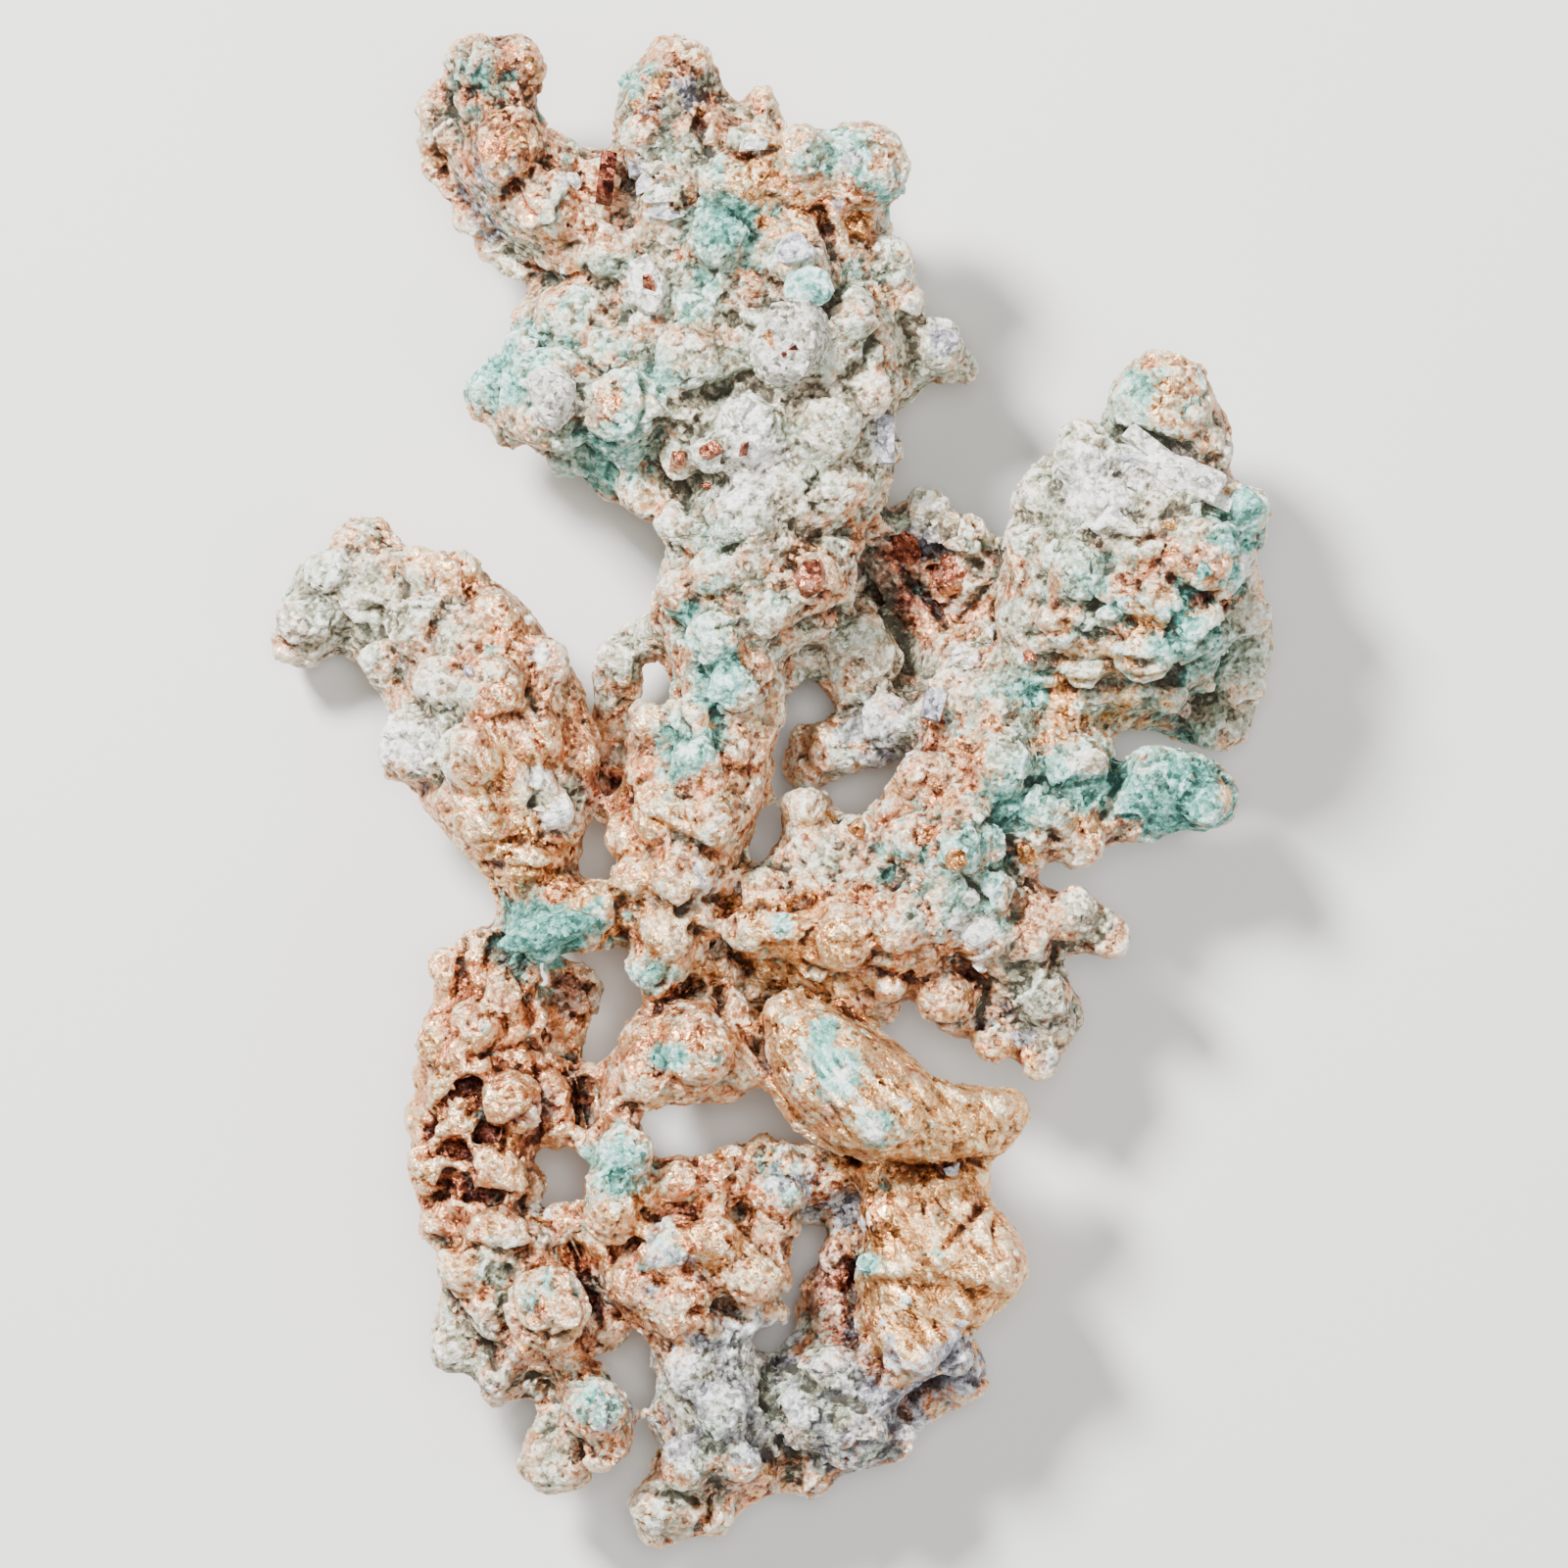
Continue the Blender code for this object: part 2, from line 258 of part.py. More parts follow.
# Lumps that stand out of the limbs by themselves.
LUMPS = {
    "crown": [(7, 50.8, 14.8, 3.4), (2.2, 52, 17.6, 1.9), (-1.8, 52.3, 16.5, 1.7),
        (-3.2, 49.2, 16, 2.6), (1.7, 44, 16.3, 2.3), (2.9, 40.9, 16.7, 1.7), (1.6, 36.3, 15, 4.2),
        (6.4, 38.6, 16.5, 1.6), (9.2, 43, 12.4, 2), (10.6, 40.1, 12.6, 1.3),
        (-6.8, 34.8, 15.1, 2.5), (-18, 32, 13.4, 3.6), (-20.2, 36.3, 11.9, 1.3),
        (-12.2, 31.2, 15.7, 2.9), (-10.5, 41.3, 13.7, 1.9), (-16.5, 38.8, 11.5, 2.6),
        (-12.8, 36.2, 13.2, 2.2), (-4.5, 45, 16.3, 2.2), (-6, 39, 15.2, 1.8),
        (-7.6, 27, 14.9, 1.4), (-4.8, 27.8, 16.2, 1.6), (-7.2, 30.2, 15.3, 1.8),
        (-1.8, 29.5, 16.6, 2.4), (4.5, 29.5, 15.3, 2.6), (7.3, 32.5, 15.1, 2),
        (5, 24.5, 14.7, 2.2), (-10.8, 24.7, 11.9, 1.7), (-21.5, 52.5, 14.1, 2.6),
        (-24.3, 59.3, 13.6, 1.9), (-18.5, 47.5, 14.3, 2.2), (-9, 56.5, 13.6, 2.4),
        (-6.4, 53.5, 14.5, 2), (-10.8, 53.3, 14.8, 1.6), (13.5, 36.6, 10.8, 1.9),
        (-14, 50.2, 12.8, 1.4), (-13.5, 44.5, 14.1, 2), (-9, 47.5, 14.5, 1.8),
        (4.2, 46.8, 15.4, 1.5)],
    "trunk": [(3.3, 17.3, 16.2, 2), (-7.6, 21.8, 13.9, 1.6), (-2.5, 22, 16.8, 2.2),
        (-7.8, 16.4, 14.7, 1.6), (-4.9, 17.9, 16.4, 1.7), (-0.5, 14.4, 15.9, 1.9),
        (-4.8, 12.5, 16, 1.8), (-3, 8.5, 15.9, 1.8), (-6.5, 6.2, 15.2, 1.7),
        (-10.4, 5.6, 13.9, 1.3), (-6, 2.8, 16.3, 1.9), (-9.2, -1.5, 16, 2),
        (-12, -3.6, 13.6, 1.6), (-5.2, -2.4, 16.7, 1.8), (-7.4, -6.6, 15.6, 2.2),
        (-11.2, -6.8, 14.8, 1.6), (-8.6, -11.5, 15.2, 1.9), (-10.2, -14.2, 14.8, 1.6),
        (-6.2, -9.8, 15, 1.3), (-18.8, -11.9, 14.9, 1.8), (-14.4, -9, 14.8, 1.6)],
    "left_arm": [(-34.5, 20.5, 7, 1.6), (-38.3, 14.5, 6.3, 2), (-36.5, 18, 7.4, 1.8),
        (-29, 18.3, 10.3, 1.6), (-25.8, 18, 11, 1.7), (-29, 13.6, 12, 2.2),
        (-31.8, 10.6, 8.7, 1.7), (-26.6, 9, 14.2, 2.2), (-22.8, 14.4, 13.7, 1.6),
        (-22.8, 8.2, 15.7, 2.4), (-18.8, 10.6, 13.2, 1.7), (-29.4, 3.6, 11.3, 2.6),
        (-24.5, 3, 16.1, 2.4), (-19.2, 4.3, 15.3, 2), (-17.8, -1.5, 15.2, 1.5),
        (-16, 3, 12.5, 1.5), (-23.5, -2, 15.2, 2.2), (-20.2, -5.5, 14.7, 1.8)],
    "right_arm": [(18.5, 2.2, 15, 2.2), (14.6, 7.8, 12.9, 1.9), (24.8, 2.2, 13.3, 2.2),
        (21.8, -2, 13.7, 2.4), (25, -4, 13.1, 1.7), (31.5, 1.2, 12.2, 2.4),
        (35.2, -0.8, 12.6, 1.8), (14.8, -4.9, 17.1, 1.7), (17.5, -8, 15, 1.9),
        (16.8, -11.2, 13, 2.2), (12.5, 1.2, 14.2, 2), (11.2, -4, 14.9, 2), (7.5, -6.5, 13.8, 1.8),
        (6.8, -3.2, 14.1, 1.2), (2.6, -1.3, 13, 1.4), (-0.6, -7.6, 12.8, 1.5),
        (0.8, -10.8, 15.7, 1.6), (-2.2, -11.2, 15.3, 1.4), (5.8, -11.8, 15.7, 2.2),
        (10, -10.5, 16, 2), (9.5, -15.2, 13.3, 1.6), (13.8, -16.8, 11.7, 1.9),
        (20.8, -12, 12.6, 2.2), (24.5, -9.8, 12.6, 1.7), (27.6, -11.8, 11.2, 1.5),
        (22, -16.5, 11.6, 2), (18.2, -20.3, 9.9, 1.6), (21.8, -21.8, 10, 1.5),
        (20.5, -5.3, 12.4, 1.6), (12.4, 23.2, 8.7, 1.5), (15.6, 20.6, 8.9, 1.7),
        (9, 21.5, 8.6, 1.5), (6.8, 12.8, 9.9, 1.9), (8.8, 10.6, 9.4, 1.6), (9.3, 5.8, 9.4, 1.9),
        (12.8, 6.2, 10.9, 1.4), (4.2, 3.5, 8, 1.6)],
    "right_club": [(31.5, 31.6, 14.2, 3.6), (22.2, 24.4, 13.2, 1.9), (25.2, 27.6, 16.8, 2),
        (29.5, 27, 16.9, 2), (33.5, 25.2, 17.2, 2.4), (26.5, 22.8, 16.7, 2.6),
        (34.4, 18.8, 17.1, 3.2), (38.2, 22.9, 15.2, 1.9), (29.8, 20.2, 18.9, 1.8),
        (24.5, 18, 17.6, 2.4), (20.5, 19.6, 14.4, 1.8), (28.2, 15.8, 17.8, 2.2),
        (23.6, 14.4, 16.8, 2), (31.2, 15.6, 18.8, 1.8), (33.8, 13.2, 17.6, 2.2),
        (30, 11.4, 17.1, 2.2), (25.2, 10.5, 15.7, 1.8), (38.6, 14.4, 12.9, 1.6),
        (38.2, 8.6, 6.8, 1.7), (36.3, 5.2, 6.6, 1.8), (32, 8, 13.1, 1.5), (35.5, 28, 14.9, 1.7)],
    "lower_left": [(-26.3, -14.4, 11.2, 1.6), (-24, -13, 11.6, 1.6), (-22, -16.2, 12.6, 1.9),
        (-27.4, -20, 11.6, 1.9), (-24.2, -18.8, 12.7, 1.7), (-24.8, -21.8, 12.5, 1.8),
        (-20, -18.6, 12.1, 1.4), (-21.6, -25.3, 12.1, 2.3), (-26.6, -24.5, 12.2, 1.7),
        (-26.2, -27.4, 12, 1.6), (-23.3, -30.6, 12.4, 2), (-28, -30.5, 11.9, 1.6),
        (-21.4, -31.8, 12.4, 1.4), (-25, -33.5, 11.5, 1.6), (-27.6, -35.2, 11.2, 1.2),
        (-22.5, -36.2, 12.3, 2.2), (-25.2, -38.8, 12, 1.9), (-19.8, -37, 12.2, 1.6),
        (-18.3, -42, 13.8, 2.9), (-23.2, -42.4, 11.6, 1.8), (-26.2, -45.2, 10, 1.4),
        (-22.8, -47.6, 10.2, 1.4), (-14.4, -50.4, 13.2, 2.4), (-13.8, -53.4, 12.9, 1.6),
        (-18, -54.8, 10.2, 2.3), (-16.8, -18.8, 7.5, 1.5)],
    "lower_middle": [(-6, -20.8, 15.2, 2.6), (-10.5, -23.4, 14.1, 2.2), (-2.6, -22.6, 14.1, 1.5),
        (-12.3, -25.8, 13, 1.5), (-12, -29.5, 14.3, 1.8), (-14, -31.8, 14.8, 1.5),
        (-13.2, -34.3, 14.1, 2.1), (-7.4, -31.4, 12.4, 1.6), (-4.2, -31.9, 12, 1.5),
        (0.2, -33, 11.2, 1.8), (-9, -37.2, 13.5, 2), (-5, -36.4, 14.3, 1.9),
        (-1.8, -39.6, 14.1, 2), (-11.5, -40, 13, 2), (-7.5, -42, 13.1, 2.4),
        (-2.6, -43, 11.2, 1.4), (-4.2, -50.6, 12.7, 2), (-7, -47.2, 12.4, 2),
        (-2.8, -54.4, 11.8, 1.9), (-7.2, -54.8, 11.9, 2), (-9.4, -58.6, 9.3, 1.9),
        (-5, -59, 9.7, 1.4)],
    "lower_right": [(4.5, -51.6, 11.7, 2.4), (7.6, -50, 11.3, 2.2), (6, -54, 11.5, 1.8),
        (3.2, -47.6, 11.4, 1.7), (13.2, -32.3, 14, 1.2), (14.8, -46.6, 11.5, 1.8),
        (9.4, -47.8, 12.5, 1.5), (12.2, -46.2, 14, 1.4), (18.6, -38.4, 13.8, 2.2),
        (5.2, -37, 8.5, 1.3)],
}

# Lumps of the underside that the nugget rests on.
FEET = [(-36.5, 14.8, 1.9, 2.3), (-7, 43, 2.7, 3.1), (35.2, 9.6, 2.4, 2.8),
        (-5.6, -52.8, 2.4, 2.8)]

# The cuts at the main forks: each is a line of (x, y) points seen from above.
CUTS = {
    "neck": [(-13, 20.8), (7.3, 20.8), (10.8, 26)],
    "stem_side": [(7.3, 21.1), (7, 15.5), (4, 13.1), (3.4, 8.6), (0.7, 5.4), (-0.4, -0.5),
                  (-2.2, -5), (-3.8, -9.5), (-4, -15.4)],
    "left_arm": [(-27, -7.6), (-15.4, -7), (-14.5, -3), (-15.6, 1), (-15.4, 4.5),
                 (-15.8, 8), (-16.3, 12.5)],
    "waist": [(-26, -9.4), (-22.8, -10.6), (-21, -13.8), (-17.5, -13.5), (-14.2, -13.4),
              (-13.2, -17.3), (-10, -17.25), (-6.5, -16.1), (-3.9, -15.2)],
    "claw_top": [(-4.2, -15.2), (0, -15.3), (4.5, -16.6), (8.8, -18.5), (11.2, -20.8),
                 (13, -23), (18, -23.7), (24, -24.3)],
    "lace_side": [(-14, -17), (-16.4, -21.8), (-16.2, -26), (-15.2, -28.3), (-16.9, -30.6),
                  (-18.2, -33.4), (-16.3, -37), (-16.1, -40), (-12.3, -43.6), (-12.3, -47)],
    "slab_side": [(-2, -15.2), (-1.6, -19), (-1, -25), (1.2, -27.1), (6.9, -29.6),
                  (6.9, -33.6), (3.5, -35.4), (2.4, -38), (1.2, -43), (0.1, -44.8),
                  (0, -48), (0.6, -52.5), (-0.6, -60)],
    "club": [(18.5, 24), (18.3, 17), (17.6, 13.4), (20.2, 7.2), (24, 6.3), (29, 4.6)],
}

COPPER = {
    "crown": (0.60, 0.55, 0.47, 1.0),
    "trunk": (0.62, 0.50, 0.40, 1.0),
    "left_arm": (0.66, 0.52, 0.42, 1.0),
    "right_arm": (0.55, 0.50, 0.42, 1.0),
    "right_club": (0.60, 0.57, 0.50, 1.0),
    "lower_left": (0.62, 0.38, 0.27, 1.0),
    "lower_middle": (0.56, 0.45, 0.38, 1.0),
    "lower_right": (0.70, 0.45, 0.28, 1.0),
}


def clear_scene():
    for obj in list(bpy.data.objects):
        bpy.data.objects.remove(obj)


def new_collection(name):
    collection = bpy.data.collections.new(name)
    bpy.context.scene.collection.children.link(collection)
    return collection


def beads_between(first, last):
    """The beads that fill a strand from one listed bead up to the next, evenly graded."""
    start, end = Vector(first), Vector(last)
    gap = (end.xyz - start.xyz).length
    steps = max(1, math.ceil(gap / (BEAD_SPACING * min(first[3], last[3]))))
    return [start.lerp(end, step / steps) for step in range(steps)]


def strand_beads(points):
    beads = [Vector(points[-1])]
    for first, last in zip(points, points[1:]):
        beads += beads_between(first, last)
    return beads


def unit_ball():
    """Corners and triangles of a round ball of radius one."""
    bm = bmesh.new()
    bmesh.ops.create_icosphere(bm, subdivisions=BALL_DETAIL, radius=1.0)
    corners = np.array([vert.co for vert in bm.verts])
    triangles = np.array([[vert.index for vert in face.verts] for face in bm.faces])
    bm.free()
    return corners, triangles


def bead_mesh():
    """All beads as one loose heap of round balls, in metres."""
    strands = [points for limb in LIMBS.values() for points in limb.values()]
    beads = [bead for points in strands for bead in strand_beads(points)]
    lumps = [lump for limb in LUMPS.values() for lump in limb] + FEET
    beads = np.array(beads + [Vector(lump) for lump in lumps]) * MM
    corners, triangles = unit_ball()
    places = beads[:, None, :3] + beads[:, None, 3:] * corners
    faces = triangles + len(corners) * np.arange(len(beads))[:, None, None]
    mesh = bpy.data.meshes.new("beads")
    mesh.from_pydata(places.reshape(-1, 3), [], faces.reshape(-1, 3).tolist())
    return mesh


def evaluated_copy(obj, name):
    """The object's mesh with its modifiers worked in."""
    graph = bpy.context.evaluated_depsgraph_get()
    mesh = bpy.data.meshes.new_from_object(obj.evaluated_get(graph))
    mesh.name = name
    return mesh


def fuse(mass):
    """Melts the beads into one skin and evens out the creases between them."""
    remesh = mass.modifiers.new("fuse", "REMESH")
    remesh.mode = "VOXEL"
    remesh.voxel_size = VOXEL * MM
    smooth = mass.modifiers.new("soften", "SMOOTH")
    smooth.factor = 0.5
    smooth.iterations = 2


def roughen(mass):
    """Small swellings and dimples all over the skin."""
    texture = bpy.data.textures.new("swellings", "CLOUDS")
    texture.noise_scale = LUMP_SIZE * MM
    texture.noise_depth = 1
    displace = mass.modifiers.new("swellings", "DISPLACE")
    displace.texture = texture
    displace.texture_coords = "LOCAL"
    displace.strength = LUMP_HEIGHT * MM
    displace.mid_level = SWELLING_BASE


def thin_out(mass):
    """Fewer, larger facets, kept small where the skin bends most."""
    graph = bpy.context.evaluated_depsgraph_get()
    shown = mass.evaluated_get(graph).data
    count = sum(len(face.vertices) - 2 for face in shown.polygons)
    decimate = mass.modifiers.new("facets", "DECIMATE")
    decimate.ratio = TRIANGLES / count
    decimate.use_collapse_triangulate = True


def subtract(mass, cutter):
    cutter.hide_render = True
    cutter.display_type = "WIRE"
    boolean = mass.modifiers.new(cutter.name, "BOOLEAN")
    boolean.operation = "DIFFERENCE"
    boolean.solver = "EXACT"
    boolean.use_self = True
    boolean.object = cutter


def ground_cutter(cutters):
    """A block whose top face is the surface that the nugget rests on."""
    reach = 4 * MASS_TOP * MM
    depth = MASS_TOP * MM
    bm = bmesh.new()
    place = Matrix.Translation((0, 0, -depth / 2)) @ Matrix.Diagonal((reach, reach, depth, 1))
    bmesh.ops.create_cube(bm, size=1.0, matrix=place)
    mesh = bpy.data.meshes.new("ground")
    bm.to_mesh(mesh)
    bm.free()
    block = bpy.data.objects.new("ground", mesh)
    cutters.objects.link(block)
    return block


def saw_cutter(cutters, name, line):
    """A thin upright blade that follows a line of points seen from above."""
    bm = bmesh.new()
    foot = [bm.verts.new((x * MM, y * MM, -MASS_TOP * MM)) for x, y in line]
    head = [bm.verts.new((x * MM, y * MM, MASS_TOP * MM)) for x, y in line]
    for i in range(len(line) - 1):
        bm.faces.new((foot[i], foot[i + 1], head[i + 1], head[i]))
    mesh = bpy.data.meshes.new(name)
    bm.to_mesh(mesh)
    bm.free()
    blade = bpy.data.objects.new(name, mesh)
    solidify = blade.modifiers.new("width", "SOLIDIFY")
    solidify.thickness = KERF * MM
    solidify.offset = 0
    solidify.use_even_offset = True
    cutters.objects.link(blade)
    return blade


def loose_bodies(skin):
    """Works in the cuts and returns the bodies that they leave, largest first."""
    bpy.context.view_layer.objects.active = skin
    skin.select_set(True)
    bpy.ops.object.convert(target="MESH")
    bpy.ops.mesh.separate(type="LOOSE")
    bodies = list(bpy.context.selected_objects)
    return sorted(bodies, key=lambda body: len(body.data.polygons), reverse=True)


def skin_tree(body):
    bm = bmesh.new()
    bm.from_mesh(body.data)
    tree = BVHTree.FromBMesh(bm)
    bm.free()
    return tree


def limb_body(trees, limb):
    """Which body is this limb: the one whose skin is nearest to most of its strands."""
    nearest = []
    for strand in limb.values():
        start = Vector(strand[0][:3]) * MM
        reach = [tree.find_nearest(start)[3] for tree in trees]
        nearest.append(reach.index(min(reach)))
    return max(set(nearest), key=nearest.count)


def metal(name, colour):
    material = bpy.data.materials.new(name)
    material.use_nodes = True
    surface = material.node_tree.nodes["Principled BSDF"]
    surface.inputs["Base Color"].default_value = colour
    surface.inputs["Metallic"].default_value = 0.6
    surface.inputs["Roughness"].default_value = 0.5
    return material


def centre_on_base(bodies):
    """Moves all limbs together, so the middle of the nugget's base is at the origin."""
    corners = np.array([vert.co for body in bodies for vert in body.data.vertices])
    middle = (corners.min(axis=0) + corners.max(axis=0)) / 2
    for body in bodies:
        body.data.transform(Matrix.Translation((-middle[0], -middle[1], 0)))
    print("moved by", middle[:2] / MM, "mm")


def fused_skin(shelf):
    """The whole nugget as one faceted skin, before it is cut."""
    mass = bpy.data.objects.new("mass", bead_mesh())
    shelf.objects.link(mass)
    fuse(mass)
    roughen(mass)
    bpy.context.view_layer.update()
    thin_out(mass)
    skin = bpy.data.objects.new("skin", evaluated_copy(mass, "skin"))
    shelf.objects.link(skin)
    bpy.data.objects.remove(mass)
    return skin


def main():
    clear_scene()
    nugget = new_collection("native copper nugget")
    cutters = new_collection("cutters")
    skin = fused_skin(cutters)
    subtract(skin, ground_cutter(cutters))
    for name, line in CUTS.items():
        subtract(skin, saw_cutter(cutters, name + "_cut", line))
    bodies = loose_bodies(skin)
    print("faces of the bodies:", [len(body.data.polygons) for body in bodies])
    limbs = bodies[:len(LIMBS)]
    for crumb in bodies[len(LIMBS):]:
        bpy.data.objects.remove(crumb)
    centre_on_base(limbs)
    trees = [skin_tree(body) for body in limbs]
    for name, limb in LIMBS.items():
        body = limbs[limb_body(trees, limb)]
        body.name = name
        body.data.name = name
        body.data.materials.append(metal(name, COPPER[name]))
        body.data.shade_smooth()
        cutters.objects.unlink(body)
        nugget.objects.link(body)
        print(name, len(body.data.polygons), "faces")


main()
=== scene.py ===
# %% [markdown]
# # A native copper nugget
# Copper sometimes grows as bare metal in cracks of rock.  This piece grew flat, with
# limbs of rounded lumps that ran together and left holes between them.  Later a crust of
# pale calcite grains settled on it, and damp turned parts of the metal green.
# The solids give the limbs.  This lesson gives them their skin, crust and colour.

# %% Load the solids
import math

import bmesh
import bpy
import numpy as np
from mathutils import Euler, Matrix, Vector
from mathutils.bvhtree import BVHTree


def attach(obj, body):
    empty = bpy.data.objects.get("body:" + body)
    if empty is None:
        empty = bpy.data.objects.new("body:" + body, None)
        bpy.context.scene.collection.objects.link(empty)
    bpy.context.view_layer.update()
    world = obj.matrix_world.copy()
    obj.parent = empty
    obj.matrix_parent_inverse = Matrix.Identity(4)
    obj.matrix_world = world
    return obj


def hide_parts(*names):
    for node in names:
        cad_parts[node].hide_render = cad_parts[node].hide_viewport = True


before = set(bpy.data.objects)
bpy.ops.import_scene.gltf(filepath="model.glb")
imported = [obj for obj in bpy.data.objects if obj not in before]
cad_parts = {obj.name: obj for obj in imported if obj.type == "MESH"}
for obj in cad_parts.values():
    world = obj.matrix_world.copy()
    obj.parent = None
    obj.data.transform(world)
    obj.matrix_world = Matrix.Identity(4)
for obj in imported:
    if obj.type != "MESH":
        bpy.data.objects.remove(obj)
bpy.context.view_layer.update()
MM = 0.001
LIMBS = ["crown", "trunk", "left_arm", "right_arm", "right_club",
         "lower_left", "lower_middle", "lower_right"]

# %% [markdown]
# ## The table and the camera
# The nugget lies on its back on a plain pale table.  The camera looks straight down on
# it through a long lens, which keeps low and high lumps nearly the same size.

# %% Table, camera and lamps
TABLE_SIZE = 4.0
TABLE_COLOUR = (0.72, 0.71, 0.69, 1)
TABLE_ROUGHNESS = 0.8
LENS = 200.0
SENSOR = 36.0
VIEW_WIDTH = 0.128  # metres seen across the picture, at the view height
VIEW_HEIGHT = 0.012
VIEW_CENTRE = (0.00086, 0.00063)
LAMPS = [  # name, place, size and power in watts
    ("key", (-0.36, 0.42, 0.55), 0.16, 21.5),
    ("fill", (0.50, -0.30, 0.50), 0.60, 3.8),
    ("top", (0.05, 0.05, 0.90), 0.30, 5.0)]
ROOM_LIGHT = 0.21


def make_table():
    bpy.ops.mesh.primitive_plane_add(size=TABLE_SIZE)
    table = bpy.context.object
    table.name = "table"
    paint = bpy.data.materials.new("table paint")
    paint.use_nodes = True
    surface = paint.node_tree.nodes["Principled BSDF"]
    surface.inputs["Base Color"].default_value = TABLE_COLOUR
    surface.inputs["Roughness"].default_value = TABLE_ROUGHNESS
    table.data.materials.append(paint)


def make_camera():
    camera = bpy.data.objects.new("camera", bpy.data.cameras.new("camera"))
    bpy.context.scene.collection.objects.link(camera)
    camera.data.lens = LENS
    camera.data.sensor_width = SENSOR
    camera.data.clip_start = 0.01
    distance = VIEW_WIDTH * LENS / SENSOR
    camera.location = (*VIEW_CENTRE, VIEW_HEIGHT + distance)
    bpy.context.scene.camera = camera


def make_lamp(name, place, size, power):
    """A soft square lamp that faces the nugget."""
    lamp = bpy.data.objects.new(name, bpy.data.lights.new(name, "AREA"))
    bpy.context.scene.collection.objects.link(lamp)
    lamp.data.size = size
    lamp.data.energy = power
    lamp.location = place
    lamp.rotation_euler = (-Vector(place)).to_track_quat("-Z", "Y").to_euler()


def light_room():
    """Even white light from all around, which keeps the shadows open."""
    room = bpy.context.scene.world or bpy.data.worlds.new("room")
    bpy.context.scene.world = room
    room.use_nodes = True
    background = room.node_tree.nodes["Background"]
    background.inputs["Color"].default_value = (1, 1, 1, 1)
    background.inputs["Strength"].default_value = ROOM_LIGHT


make_table()
make_camera()
for lamp_values in LAMPS:
    make_lamp(*lamp_values)
light_room()
print("lamps:", len(LAMPS))

# %% [markdown]
# ## One body of metal
# The solids are parted by thin cuts, but the metal isn't.  Each solid is swelled a little
# so that the cuts close, and knobs are set on it.  Then a voxel remesh melts the heap
# into one skin.  A heap of balls is the way to make lumps that really run together.

# %% Cell sizes and mesh helpers
COARSE_CELL = 0.4 * MM
CELL = 0.25 * MM
SWELL = 0.32 * MM
DRAW_IN = 0.5 * MM  # leaves room for the lobes
CORE_SMOOTHING = 5
SAME_PLACE = 1e-6


def add_object(name, mesh):
    thing = bpy.data.objects.new(name, mesh)
    bpy.context.scene.collection.objects.link(thing)
    return thing


def vertex_vectors(mesh, what):
    """The place ("co") or the direction ("normal") of each vertex, as rows of x, y, z."""
    vectors = np.empty(len(mesh.vertices) * 3, dtype=np.float32)
    mesh.vertices.foreach_get(what, vectors)
    return vectors.reshape(-1, 3)


def place_rows(mesh):
    return vertex_vectors(mesh, "co").astype(float)


def move_vertices(mesh, places):
    mesh.vertices.foreach_set("co", places.astype(np.float32).ravel())
    mesh.update()
    return mesh


def baked(thing, name):
    """The mesh of a thing with its modifiers worked in."""
    bpy.context.view_layer.update()
    graph = bpy.context.evaluated_depsgraph_get()
    mesh = bpy.data.meshes.new_from_object(thing.evaluated_get(graph))
    mesh.name = name
    bpy.data.objects.remove(thing)
    return mesh


def joined(meshes, name):
    bm = bmesh.new()
    for mesh in meshes:
        bm.from_mesh(mesh)
    mesh = bpy.data.meshes.new(name)
    bm.to_mesh(mesh)
    bm.free()
    return mesh

# %% Join the limbs
def welded_copy(limb):
    """A limb's mesh with one vertex at each corner, swelled a little."""
    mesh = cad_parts[limb].data.copy()
    bm = bmesh.new()
    bm.from_mesh(mesh)
    bmesh.ops.remove_doubles(bm, verts=bm.verts, dist=SAME_PLACE)
    bmesh.ops.recalc_face_normals(bm, faces=bm.faces)
    bm.normal_update()
    for vert in bm.verts:
        vert.co += vert.normal * SWELL
    bm.to_mesh(mesh)
    bm.free()
    return mesh


def fused(mesh, cell, smoothing):
    """Melts a heap of closed meshes into one skin."""
    heap = add_object("heap", mesh)
    remesh = heap.modifiers.new("fuse", "REMESH")
    remesh.mode = "VOXEL"
    remesh.voxel_size = cell
    smooth = heap.modifiers.new("soften", "SMOOTH")
    smooth.factor = 0.5
    smooth.iterations = smoothing
    return baked(heap, "fused")


def rested(mesh):
    """Flattens the few spots of a skin that would reach into the table."""
    places = place_rows(mesh)
    places[:, 2] = np.maximum(places[:, 2], 0)
    return move_vertices(mesh, places)


def drawn_in(mesh, depth):
    """Moves a skin inwards along its own directions."""
    return move_vertices(mesh, place_rows(mesh) - vertex_vectors(mesh, "normal") * depth)


core = fused(joined([welded_copy(limb) for limb in LIMBS], "limbs"), COARSE_CELL, CORE_SMOOTHING)
core = drawn_in(core, DRAW_IN)
print("core:", len(core.vertices), "vertices")

# %% [markdown]
# ## Where each finish lies
# Each finish has a list of round patches, seen from above: x, y and radius in
# millimetres, and how much it adds or takes away.  They are soft; the material breaks
# their edges up with noise.

